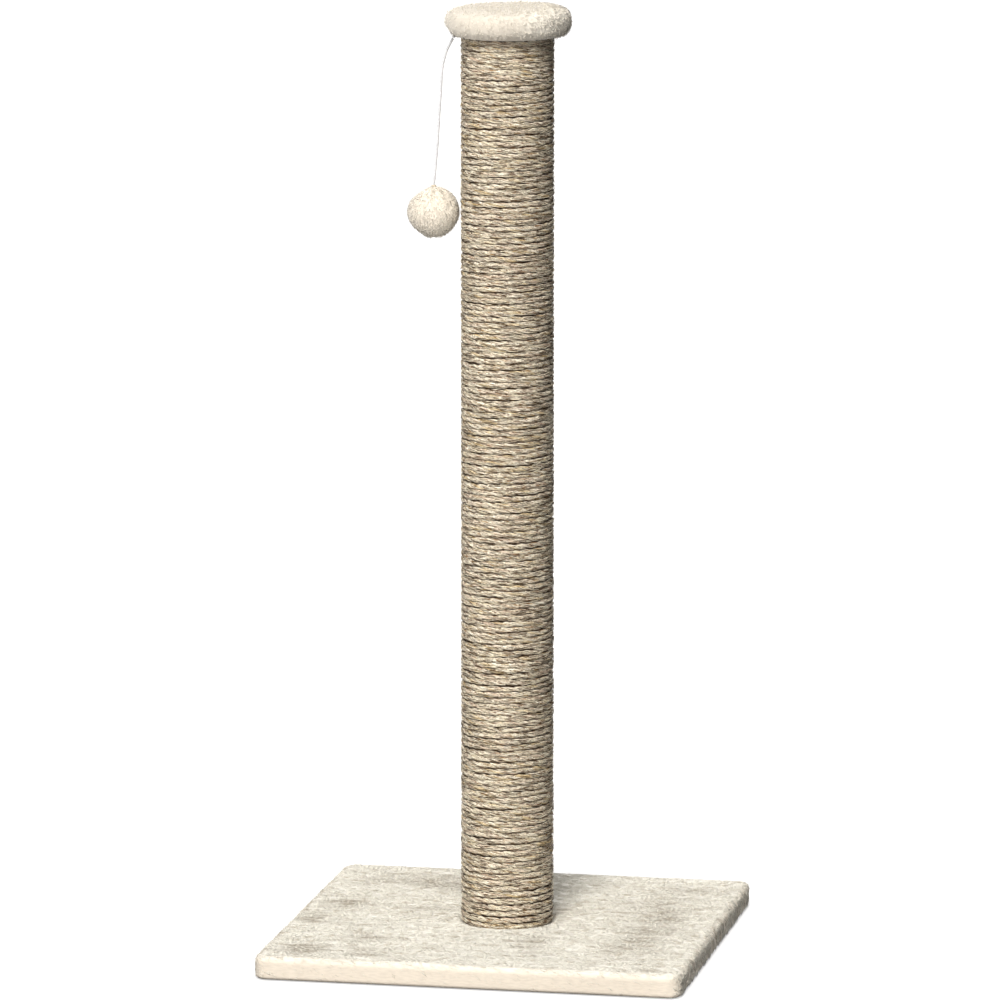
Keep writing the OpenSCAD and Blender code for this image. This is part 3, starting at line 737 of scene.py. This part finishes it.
def pile_lock_tree(name, finish):
    """Small pointed locks of pile that lean along the nap, thrown over the loose skin of a cover.
    Real tufts are under 0.2 mm thick and stand closer; these are fewer and thicker, so that they show."""
    tree, size = start_geometry(name, {
        "Locks per square metre": 4.0e5, "Lock length": 4.4 * MM, "Lock width": 0.5 * MM, "Lean": 16.0,
        "Nap": (1.0, 0.0, -0.6), "Ruffle": 0.24, "Shake": 0.10, "Patch size": 12 * MM, "Patch low": 0.0,
        "Patch high": 1.0, "Seed": 3})
    # the locks grow only where the patches lie between low and high
    place = put(tree, "GeometryNodeInputPosition")
    finer = put(tree, MATH, [1.0, size["Patch size"]], "DIVIDE")
    patches = put(tree, NOISE, {"Vector": place, "Scale": finer, "Detail": 2.0})
    above, below = [put(tree, "FunctionNodeCompare", [patches, size[limit]], test, data_type="FLOAT")
                    for limit, test in (("Patch low", "GREATER_EQUAL"), ("Patch high", "LESS_THAN"))]
    inside = put(tree, MATH, [above, below], "MULTIPLY")
    share = put(tree, MATH, [inside, put(tree, READ, {"Name": "loose"})], "MULTIPLY")
    density = put(tree, MATH, [share, size["Locks per square metre"]], "MULTIPLY")
    roots = put(tree, "GeometryNodeDistributePointsOnFaces",
                {"Mesh": size["Geometry"], "Density": density, "Seed": size["Seed"]})
    normal = roots.outputs["Normal"]
    # the nap, ruffled in patches and shaken from lock to lock
    swirl = put(tree, NOISE, {"Vector": place, "Scale": 1 / (7 * MM), "Detail": 2.0}).outputs["Color"]
    even = put(tree, VECTOR_MATH, [swirl, (-0.5, -0.5, -0.5)], "ADD")
    ruffled = put(tree, VECTOR_MATH, {0: even, "Scale": size["Ruffle"]}, "SCALE")
    least = put(tree, MATH, [size["Shake"], -1.0], "MULTIPLY")
    shaken = put(tree, RANDOM, {0: least, 1: size["Shake"], "Seed": size["Seed"]}, data_type="FLOAT_VECTOR")
    mixed = put(tree, VECTOR_MATH, [ruffled, shaken], "ADD")
    napped = put(tree, VECTOR_MATH, [size["Nap"], mixed], "ADD")
    # only the part of it along the skin counts
    rise = put(tree, VECTOR_MATH, [napped, normal], "DOT_PRODUCT").outputs["Value"]
    lifted = put(tree, VECTOR_MATH, {0: normal, "Scale": rise}, "SCALE")
    tangent = put(tree, VECTOR_MATH, [napped, lifted], "SUBTRACT")
    leaning = put(tree, VECTOR_MATH, {0: tangent, "Scale": size["Lean"]}, "SCALE")
    direction = put(tree, VECTOR_MATH, [normal, leaning], "ADD")
    stand = put(tree, "FunctionNodeAlignRotationToVector", {"Vector": direction}, axis="Z")
    face = put(tree, "FunctionNodeAlignRotationToVector", {"Rotation": stand, "Vector": normal}, axis="Y",
               pivot_axis="Z")
    blade = put(tree, "GeometryNodeMeshCone", {"Vertices": 3, "Radius Top": 0.0, "Radius Bottom": 0.5,
                                               "Depth": 1.0}, fill_type="NGON")
    full = put(tree, COMBINE, {"X": size["Lock width"], "Y": size["Lock width"], "Z": size["Lock length"]})
    chance = put(tree, RANDOM, {2: 0.6, 3: 1.2, "Seed": size["Seed"]}, data_type="FLOAT").outputs[1]
    grown = put(tree, VECTOR_MATH, {0: full, "Scale": chance}, "SCALE")
    planted = put(tree, "GeometryNodeInstanceOnPoints", {
        "Points": roots.outputs["Points"], "Instance": blade.outputs["Mesh"], "Rotation": face,
        "Scale": grown})
    return end_geometry(tree, planted, finish)


# Base cover: plush drawn over the board and turned under it in a hem

def base_outline():
    """Points and outward directions round a square with round corners."""
    core = base_half - base_corner_r
    side_steps, corner_steps = 150, 6
    points, normals = [], []
    for quarter in range(4):
        turn = quarter * math.pi / 2
        ax, ay = math.cos(turn), math.sin(turn)
        for i in range(side_steps):
            along = core * (2 * (i + 0.5) / side_steps - 1)
            points.append((ax * core - ay * along, ay * core + ax * along))
            normals.append((ax, ay))
        for i in range(corner_steps):
            angle = turn + (i + 0.5) / corner_steps * math.pi / 2
            points.append((ax * core - ay * core, ay * core + ax * core))
            normals.append((math.cos(angle), math.sin(angle)))
    return np.array(points), np.array(normals)


def base_cover_rings():
    """The cover's closed section as rings of points and their heights: from the post's foot out over the
    top, down the side, in under the board, round the hem's edge and back over the board to the bolt hole.
    Returns them with the number of rings whose pile can be seen."""
    core_points, normals = base_outline()
    least_corner_r = 1 * MM
    rings, heights = [], []

    def inset(d):
        keep = min(base_corner_r, max(least_corner_r, base_corner_r - d))
        limit = base_half - d - keep
        return np.clip(core_points, -limit, limit) + normals * keep

    def add(outline, z):
        rings.append(outline)
        heights.append(z)

    inner_inset = 11 * MM
    inner = inset(inner_inset)
    directions = inner / np.linalg.norm(inner, axis=1, keepdims=True)
    # radius and rise in mm: pressed flat under the post, then up in a soft lip round it
    for r, rise in ((5, 0), (24, 0), (40, 0), (43.3, 0), (44.3, 0.4), (45.4, 1.2), (46.8, 1.9), (48.6, 2.35),
                    (50.6, 2.5), (53.2, 2.5)):
        add(directions * r * MM, post_foot + rise * MM)
    flat_from_r = 56 * MM
    for t in np.linspace(0, 1, 53):
        add(directions * flat_from_r * (1 - t) + inner * t, base_top)
    for d in (9.7, 8.4, 7.1):
        add(inset(d * MM), base_top)
    # the rounded top edge, the side and the rounded bottom edge
    quarter_turn = [step / 6 * math.pi / 2 for step in range(7)]
    for angle in quarter_turn:
        drop = base_top_edge_r * (1 - math.cos(angle))
        add(inset(base_top_edge_r * (1 - math.sin(angle))), base_top - drop)
    for z in np.linspace(15.3, 6.2, 6):
        add(inset(0), z * MM)
    for angle in quarter_turn:
        add(inset(base_edge_r * (1 - math.cos(angle))), base_bottom + base_edge_r * (1 - math.sin(angle)))
    seen_rings = len(rings)

    for d in (7, 11, 16, 21, 26, 30):
        add(inset(d * MM), base_bottom)
    # the hem's folded edge: how far back from it, and how far up
    for back, up in ((1, 0), (0.3, 0.3), (0, 1), (0, 2), (0.3, 2.7)):
        add(inset(hem_inset - back * MM), base_bottom + up * MM)
    for d in (33, 24, 14):
        add(inset(d * MM), board_bottom)
    for z in np.linspace(board_bottom, board_top, 4):
        add(inset(board_inset), z)
    add(inner, board_top)
    for t in (0.3, 0.6, 0.85):
        add(inner * (1 - t) + directions * bolt_hole_r * t, board_top)
    add(directions * bolt_hole_r, board_top)
    return rings, heights, seen_rings


def base_cover_mesh():
    """The base's cover, with what its pile and its finish need to know at each point."""
    rings, heights, seen_rings = base_cover_rings()
    count = len(rings[0])
    points = np.concatenate([np.column_stack([ring, np.full(count, z)]) for ring, z in zip(rings, heights)])
    faces = []
    for row in range(len(rings)):
        below = (row + 1) % len(rings)
        for i in range(count):
            j = (i + 1) % count
            faces.append((row * count + i, below * count + i, below * count + j, row * count + j))
    mesh = mesh_of("base_cover", points, faces)
    x, y, z = points.T

    # the pile stands free on the top and the sides, not under the post or the board
    free = (np.arange(len(points)) < seen_rings * count).astype(float)
    free *= ramp(np.hypot(x, y), 43.5 * MM, 3 * MM) * ramp(z, 2 * MM, 3 * MM)
    # the pile lies smoothest on the front
    free *= 1 - 0.92 * ramp(-y - base_half, -1.5 * MM, 1 * MM)
    give(mesh, "loose", free)

    # where hands have brushed the pile the other way, painted shade of the turned nap: centre and half sizes
    # in mm, and strength
    painted_nap_shade = [(-161, -158, 17, 18, 1.35), (-96, -164, 24, 13, 0.825), (-178, -35, 12, 18, 1.2),
             (-165, 29, 22, 22, 0.675), (-112, 142, 40, 30, 0.75), (-72, 121, 30, 26, 0.675),
             (136, 35, 34, 60, 0.75), (140, -70, 22, 60, 0.675), (150, 137, 28, 20, 0.6),
             (42, -95, 14, 26, 0.825), (-112, -111, 20, 14, 0.75), (-80, 20, 36, 12, 0.45),
             (117, -119, 12, 26, 0.6), (168, -181, 10, 10, 0.75), (109, -173, 14, 8, 0.675),
             (45, 17, 20, 40, 0.45)]
    brushed = np.zeros(len(points))
    for mark_x, mark_y, half_w, half_d, strength in painted_nap_shade:
        off = ((x - mark_x * MM) / (half_w * MM)) ** 2 + ((y - mark_y * MM) / (half_d * MM)) ** 2
        brushed += strength * np.exp(-off)
    give(mesh, "brushed", np.clip(brushed, 0, 1))

    # the sides' warmer tone, painted warm light, runs on a little way over the rounded edge
    edge_z = base_top - base_top_edge_r
    from_edge = base_half - np.abs(points[:, :2]).max(axis=1) + z - edge_z
    give(mesh, "top_not_side", ease(ramp(from_edge, 1 * MM, 13 * MM) * ramp(z, edge_z - 1 * MM, 4 * MM)))
    return mesh


base_relief = pile_relief_tree("base pile relief", base_plush)
base_cover = grow("base_plush_cover_soft", base_cover_mesh(), base_relief, stretch=(0.3, 1.2, 1.0))
stand_for(base_cover, "base_plush_cover", "base")
floor_clearance = 0.3 * MM
# the shaded locks are painted shade of the nap, grown where the patches are high
for tone, finish, low, high, seed in (("pale", pale_lock, 0.0, 0.52, 5),
                                      ("shaded", shaded_lock, 0.60, 1.0, 6)):
    base_pile = pile_lock_tree("base pile " + tone, finish)
    base_locks = grow("base_pile_" + tone, base_cover.data.copy(), base_pile, patch_low=low,
                      patch_high=high, seed=seed)
    # the lowest locks lie on the floor and don't reach into it
    points = points_of(base_locks.data)
    points[:, 2] = np.maximum(points[:, 2], floor_clearance)
    place_points(base_locks.data, points)
    stand_for(base_locks, "base_plush_cover", "base")


# Cap: a round padded bun, and ball: stuffed plush gathered round the cord

def turned_mesh(name, profile, steps, centre):
    """A closed solid turned about an upright axis. The profile runs from its top to its bottom point."""
    bm = bmesh.new()
    rows = []
    for r, z in profile:
        turns = [2 * math.pi * i / steps for i in range(steps if r else 1)]
        rows.append([bm.verts.new(centre + Vector((r * math.cos(a), r * math.sin(a), z))) for a in turns])
    for upper, lower in zip(rows, rows[1:]):
        for i in range(steps):
            j = (i + 1) % steps
            corner_points = [upper[i % len(upper)], lower[i % len(lower)], lower[j % len(lower)],
                             upper[j % len(upper)]]
            bm.faces.new(list(dict.fromkeys(corner_points)))
    mesh = bpy.data.meshes.new(name)
    bm.to_mesh(mesh)
    bm.free()
    return mesh


def apply_modifier(piece, kind, **settings):
    """Adds a modifier to a piece and applies it."""
    for other in scene.objects:
        other.select_set(other == piece)
    bpy.context.view_layer.objects.active = piece
    modifier = piece.modifiers.new("finish", kind)
    for name, value in settings.items():
        setattr(modifier, name, value)
    bpy.ops.object.modifier_apply(modifier=modifier.name)


def puff(piece, voxel, pressure, most, held):
    """Swells a closed cover under its filling's pressure: remeshed, simulated as cloth and rounded.
    No point moves further than most, and none moves where held is 1."""
    apply_modifier(piece, "REMESH", mode="VOXEL", voxel_size=voxel)
    pins = piece.vertex_groups.new(name="held")
    for v in piece.data.vertices:
        pins.add([v.index], held(v.co), "REPLACE")
    cloth = piece.modifiers.new("cloth", "CLOTH")
    cloth.settings.quality = 6
    cloth.settings.mass = 0.2
    cloth.settings.tension_stiffness = cloth.settings.compression_stiffness = 12
    cloth.settings.bending_stiffness = 0.6
    cloth.settings.use_pressure = True
    cloth.settings.uniform_pressure_force = pressure
    cloth.settings.vertex_group_mass = "held"
    cloth.settings.effector_weights.gravity = 0
    cloth.collision_settings.use_self_collision = False
    last_tick = 20
    cloth.point_cache.frame_start = 1
    cloth.point_cache.frame_end = last_tick
    for tick in range(1, last_tick + 1):
        scene.frame_set(tick)
    swollen = bpy.data.meshes.new_from_object(piece.evaluated_get(bpy.context.evaluated_depsgraph_get()))
    piece.modifiers.remove(cloth)
    scene.frame_set(1)
    start = points_of(piece.data)
    move = points_of(swollen) - start
    far = np.linalg.norm(move, axis=1, keepdims=True)
    place_points(piece.data, start + move * np.minimum(1, most / np.maximum(far, 1e-9)))
    piece.vertex_groups.clear()
    apply_modifier(piece, "SUBSURF", levels=1, render_levels=1)


def cap_profile():
    """From the top's middle, over a full shoulder and side, to the middle of the flat underside."""
    top, bottom = cap_side_r - 1.5 * MM, -cap_side_r
    rows = [(0, top + 0.5 * MM), (6 * MM, top + 0.5 * MM), (14 * MM, top + 0.3 * MM)]
    rows += [(r * MM, top) for r in (24, 34, 42)]
    for step in range(1, 14):
        angle = math.pi / 2 - step / 14 * math.pi
        full = 2 / (2.7 if angle > 0 else 2.2)  # squarer above than below
        out = math.cos(angle) ** full
        up = math.copysign(abs(math.sin(angle)) ** full, angle)
        rows.append((cap_flat_r + cap_side_r * out, up * (top if angle > 0 else -bottom)))
    return rows + [(cap_flat_r, bottom), (30 * MM, bottom), (0, bottom)]


def ball_profile():
    """Half a circle from top to bottom, a little smaller than the stuffed ball."""
    steps, r = 24, ball_r * 0.955
    angles = [math.pi * i / steps for i in range(1, steps)]
    return [(0, r)] + [(r * math.sin(a), r * math.cos(a)) for a in angles] + [(0, -r)]


def cap_held(co):
    """The underside, stapled to the cap's board."""
    return float(co.z < cap_mid_z - cap_side_r + 1.5 * MM and math.hypot(co.x, co.y) < 46 * MM)


def ball_held(co):
    """The gathered top, tied round the cord."""
    return float(math.hypot(co.x - ball_centre.x, co.y) < 4 * MM and co.z > ball_centre.z)


def dress(piece, centre, shape, relief, **sizes):
    """Finishes a puffed cover: its own small unevenness on a finer skin, then the relief of its pile."""
    apply_modifier(piece, "SUBSURF", levels=1, render_levels=1)
    name, mesh = piece.name, piece.data
    moved, free, woolly_lit = shape(points_of(mesh) - np.array(centre))
    place_points(mesh, moved + np.array(centre))
    give(mesh, "loose", free)
    give(mesh, "woolly_lit", woolly_lit)
    bpy.data.objects.remove(piece)
    return grow(name, mesh, relief, **sizes)


def cap_shape(points):
    """Pleats under the rim, where the round of plush is drawn in, and pile free above them."""
    x, y, z = points.T
    radius = np.hypot(x, y)
    angle = np.arctan2(y, x)
    under = ramp(-z, 6 * MM, 8 * MM) * ramp(radius, 40 * MM, 6 * MM) * (z >= -cap_side_r + 1 * MM)
    pleat = np.sin(angle * 34 + 1.3 * np.sin(angle * 5)) * 0.5 * MM * under
    out = points / np.maximum(np.linalg.norm(points, axis=1, keepdims=True), 1e-9)
    moved = points + out * pleat[:, None]
    # a hollow in the lower side, where the toy's cord hangs out and rests when it is swung up and back
    rounding = radius - cap_flat_r
    reach = np.maximum(np.hypot(rounding, z), 1e-9)
    hollow = np.exp(-(y / (22 * MM)) ** 4 - ((z + 9.5 * MM) / (7 * MM)) ** 2)
    hollow *= (x < 0) * ramp(rounding, 0, 3 * MM)
    skin_out = np.column_stack([points[:, :2] * (rounding / np.maximum(radius, 1e-9))[:, None], z])
    moved -= 2.5 * MM * (hollow / reach)[:, None] * skin_out
    # the foam is a little thicker on one side
    to_thick_side = (0.98 * x + 0.2 * y) / (cap_flat_r + cap_side_r)
    moved[:, 2] += 1.1 * MM * ramp(z, 0, 10 * MM) * to_thick_side
    moved[:, 2] = np.maximum(moved[:, 2], -cap_side_r)
    # the pile is brushed flat on one side and stands up on the other, where the cover is also painted paler
    # as painted light
    woolly_lit = ramp(to_thick_side, 0.1, 0.5) * ramp(radius, 34 * MM, 8 * MM)
    free = np.maximum(ramp(radius, 40 * MM, 4 * MM), z > 0) * ramp(z, -cap_side_r + 0.5 * MM, 3 * MM)
    free *= (0.35 + 0.65 * woolly_lit) * (1 - np.clip(4 * hollow, 0, 1))
    return moved, free, woolly_lit


def ball_shape(points):
    """The cover drawn together round the cord, with folds that run down from its short neck and die out."""
    x, y, z = points.T
    radius = np.linalg.norm(points, axis=1)
    side = np.hypot(x, y)
    angle = np.arctan2(y, x)
    from_top = np.arctan2(side, z)
    fold = np.exp(-((from_top - 0.35) / 0.38) ** 2) * np.clip(from_top / 0.16, 0, 1)
    wave = np.sin(angle * 11 + 1.1 * np.sin(angle * 3)) * 0.9 * MM * fold
    neck_rise = 1.5 * MM * np.exp(-(from_top / 0.13) ** 2)
    lean = np.sin(angle + 2.4) * np.sin(from_top * 2) + np.cos(angle * 2 + 0.6) * np.sin(from_top)
    lean *= 0.5 * MM
    # softer and fuller places in its filling: direction, height in mm and spread in radians
    places = [((-0.563, -0.113, 0.819), -1.7, 0.36), ((-0.656, -0.131, -0.743), -1.0, 0.30),
              ((0, 0, -1), 1.0, 0.33), ((-0.981, -0.196, 0), 0.9, 0.50)]
    for direction, height, spread in places:
        away = np.arccos(np.clip(points @ np.array(direction) / radius, -1, 1))
        lean = lean + height * MM * np.exp(-(away / spread) ** 2)
    moved = points * ((radius + wave + neck_rise + lean) / radius)[:, None]
    # where the pile stands up, on the +x side and below, the cover is painted paler: painted light
    woolly_lit = np.clip((0.8 * x + 0.2 * y - 0.6 * z) / ball_r + 0.1, 0, 1)
    return moved, ramp(side, 3 * MM, 3 * MM), woolly_lit


cap_centre = Vector((0, 0, cap_mid_z))
cap = object_of("cap_plush_cover_soft", turned_mesh("cap_cover", cap_profile(), steps=96, centre=cap_centre))
puff(cap, voxel=4 * MM, pressure=4.0, most=1.6 * MM, held=cap_held)
ball = object_of("ball_plush_cover_soft",
                 turned_mesh("ball_cover", ball_profile(), steps=48, centre=ball_centre))
puff(ball, voxel=3.2 * MM, pressure=4.0, most=1.0 * MM, held=ball_held)

cap = dress(cap, cap_centre, cap_shape, pile_relief_tree("cap pile relief", cap_plush),
            clump_size=7 * MM, clump_height=0.28 * MM, lock_size=2.6 * MM, lock_height=0.22 * MM)
ball = dress(ball, ball_centre, ball_shape, pile_relief_tree("ball pile relief", ball_plush),
             clump_size=6 * MM, clump_height=0.22 * MM, lock_size=2.4 * MM, lock_height=0.18 * MM)
cream_pile = pile_lock_tree("cream pile", cream_lock)
cap_locks = grow("cap_pile", cap.data.copy(), cream_pile, locks_per_square_metre=4.5e5,
                 lock_length=3.2 * MM, lock_width=0.6 * MM, lean=2.2, nap=(0.6, 0.2, -0.7), ruffle=0.9,
                 shake=0.35, seed=8)
ball_locks = grow("ball_pile", ball.data.copy(), cream_pile, locks_per_square_metre=6.0e5,
                  lock_length=2.5 * MM, lock_width=0.55 * MM, lean=2.0, nap=(0.2, 0.1, -1.0), ruffle=0.9,
                  shake=0.35, seed=9)
for piece in (cap, cap_locks):
    stand_for(piece, "cap_plush_cover", "base")
for piece in (ball, ball_locks):
    stand_for(piece, "ball_plush_cover", "ball")


# Gathering thread: three turns of spun thread drawn tight round the ball's neck

def thread_tree():
    """Thread along an edge path."""
    tree, size = start_geometry("wound thread", {"Thread radius": 0.34 * MM, "Sides": 8})
    path = put(tree, PATH, {"Mesh": size["Geometry"]})
    ring = put(tree, RING, {"Resolution": size["Sides"], "Radius": size["Thread radius"]})
    tube = put(tree, SWEEP, {"Curve": path, "Profile Curve": ring, "Fill Caps": True})
    return end_geometry(tree, tube, thread)


def thread_route():
    """Three turns that climb the neck, now a little wider and now a little tighter."""
    steps, turns, bottom, climb = 96, 3, 717.6, 0.9
    route = []
    for i in range(steps + 1):
        angle = 2 * math.pi * turns * i / steps
        r = (1.9 - 0.18 * math.cos(angle / turns * 2)) * MM
        z = (bottom + climb * i / steps) * MM
        route.append((ball_centre.x + r * math.cos(angle), r * math.sin(angle), z))
    return route


gather = grow("ball_gather_thread_wound", path_mesh("thread_path", thread_route()), thread_tree())
stand_for(gather, "ball_gather_thread", "ball")


# ---- Floor, light and look ----

def floor_material():
    # Seamless studio paper: matt and almost white. To the eye it is lit a little from within. The
    # light that it throws back on the object comes mostly from the front left, and less from close by.
    made = bpy.data.materials.new("studio_paper")
    made.use_nodes = True
    tree = made.node_tree
    tree.nodes.clear()
    seen = put(tree, "ShaderNodeBsdfDiffuse", {"Color": (0.45, 0.45, 0.45, 1)})
    glow = put(tree, "ShaderNodeEmission", {"Color": (1, 1, 1, 1), "Strength": 0.62})
    bright = put(tree, "ShaderNodeAddShader", [seen, glow])
    place = put(tree, COORDINATES).outputs["Object"]
    back = put(tree, VECTOR_MATH, [place, (1.6, 1, 0)], "DOT_PRODUCT").outputs["Value"]
    front = put(tree, RANGE, {"Value": back, 1: -0.2, 2: 0.4, 3: 0.72, 4: 0.08}, clamp=True)
    away = put(tree, VECTOR_MATH, [place], "LENGTH").outputs["Value"]
    beyond = put(tree, RANGE, {"Value": away, 1: 0.40, 2: 0.80, 3: 0.30, 4: 1.0}, clamp=True)
    ahead = put(tree, MATH, [front, beyond], "MULTIPLY")
    # a white card on the floor, to the right of the base
    card = put(tree, VECTOR_MATH, [place, (0.39, 0.0, 0)], "DISTANCE").outputs["Value"]
    beside = put(tree, RANGE, {"Value": card, 1: 0.25, 2: 0.40, 3: 0.36, 4: 0.0}, clamp=True)
    bounce = put(tree, MATH, [ahead, beside], "MAXIMUM")
    dull = put(tree, "ShaderNodeBsdfDiffuse", [bounce])
    direct = put(tree, "ShaderNodeLightPath").outputs["Is Camera Ray"]
    shown = put(tree, "ShaderNodeMixShader", [direct, dull, bright])
    put(tree, "ShaderNodeOutputMaterial", {"Surface": shown})
    return made


floor_half = 60
floor_z = -0.05 * MM
floor_corners = [(x * floor_half, y * floor_half, floor_z) for x, y in ((-1, -1), (1, -1), (1, 1), (-1, 1))]
floor = object_of("studio_floor", mesh_of("studio_floor", floor_corners, [(0, 1, 2, 3)]))
floor.data.materials.append(floor_material())


def sun(name, azimuth, elevation, strength, spread, colour):
    """A soft far light. Azimuth 0 shines along +Y and 90 along -X."""
    lamp = object_of(name, bpy.data.lights.new(name, "SUN"))
    a, e = math.radians(azimuth), math.radians(elevation)
    source = Vector((math.sin(a) * math.cos(e), -math.cos(a) * math.cos(e), math.sin(e)))
    lamp.rotation_euler = source.to_track_quat("Z", "Y").to_euler()
    lamp.data.energy = strength
    lamp.data.angle = math.radians(spread)
    lamp.data.color = colour


def studio_world():
    # An overhead softbox as wide as the room: brighter above than at the walls. To the eye, the wall
    # behind the floor is as white as the floor.
    world = bpy.data.worlds.new("studio")
    world.use_nodes = True
    tree = world.node_tree
    tree.nodes.clear()
    looking = put(tree, "ShaderNodeSeparateXYZ", [put(tree, COORDINATES).outputs["Generated"]])
    overhead = put(tree, RANGE, {"Value": looking.outputs["Z"], 1: 0.30, 2: 1.0, 3: 0.04, 4: 1.0},
                   interpolation_type="SMOOTHSTEP")
    sky = put(tree, "ShaderNodeBackground", {"Color": (0.985, 0.98, 0.97, 1), "Strength": overhead})
    wall = put(tree, "ShaderNodeBackground", {"Color": (1, 1, 1, 1), "Strength": 1.0})
    direct = put(tree, "ShaderNodeLightPath").outputs["Is Camera Ray"]
    around = put(tree, "ShaderNodeMixShader", [direct, sky, wall])
    put(tree, "ShaderNodeOutputWorld", {"Surface": around})
    return world


sun("key_softbox", azimuth=1, elevation=43, strength=2.95, spread=24, colour=(1.0, 0.975, 0.93))
sun("key_softbox_foot", azimuth=-3, elevation=6, strength=0.7, spread=24, colour=(1.0, 0.96, 0.90))
sun("back_fill", azimuth=191, elevation=14, strength=1.1, spread=40, colour=(1.0, 0.985, 0.96))
scene.world = studio_world()
scene.view_settings.view_transform = "Standard"
scene.view_settings.gamma = 0.78
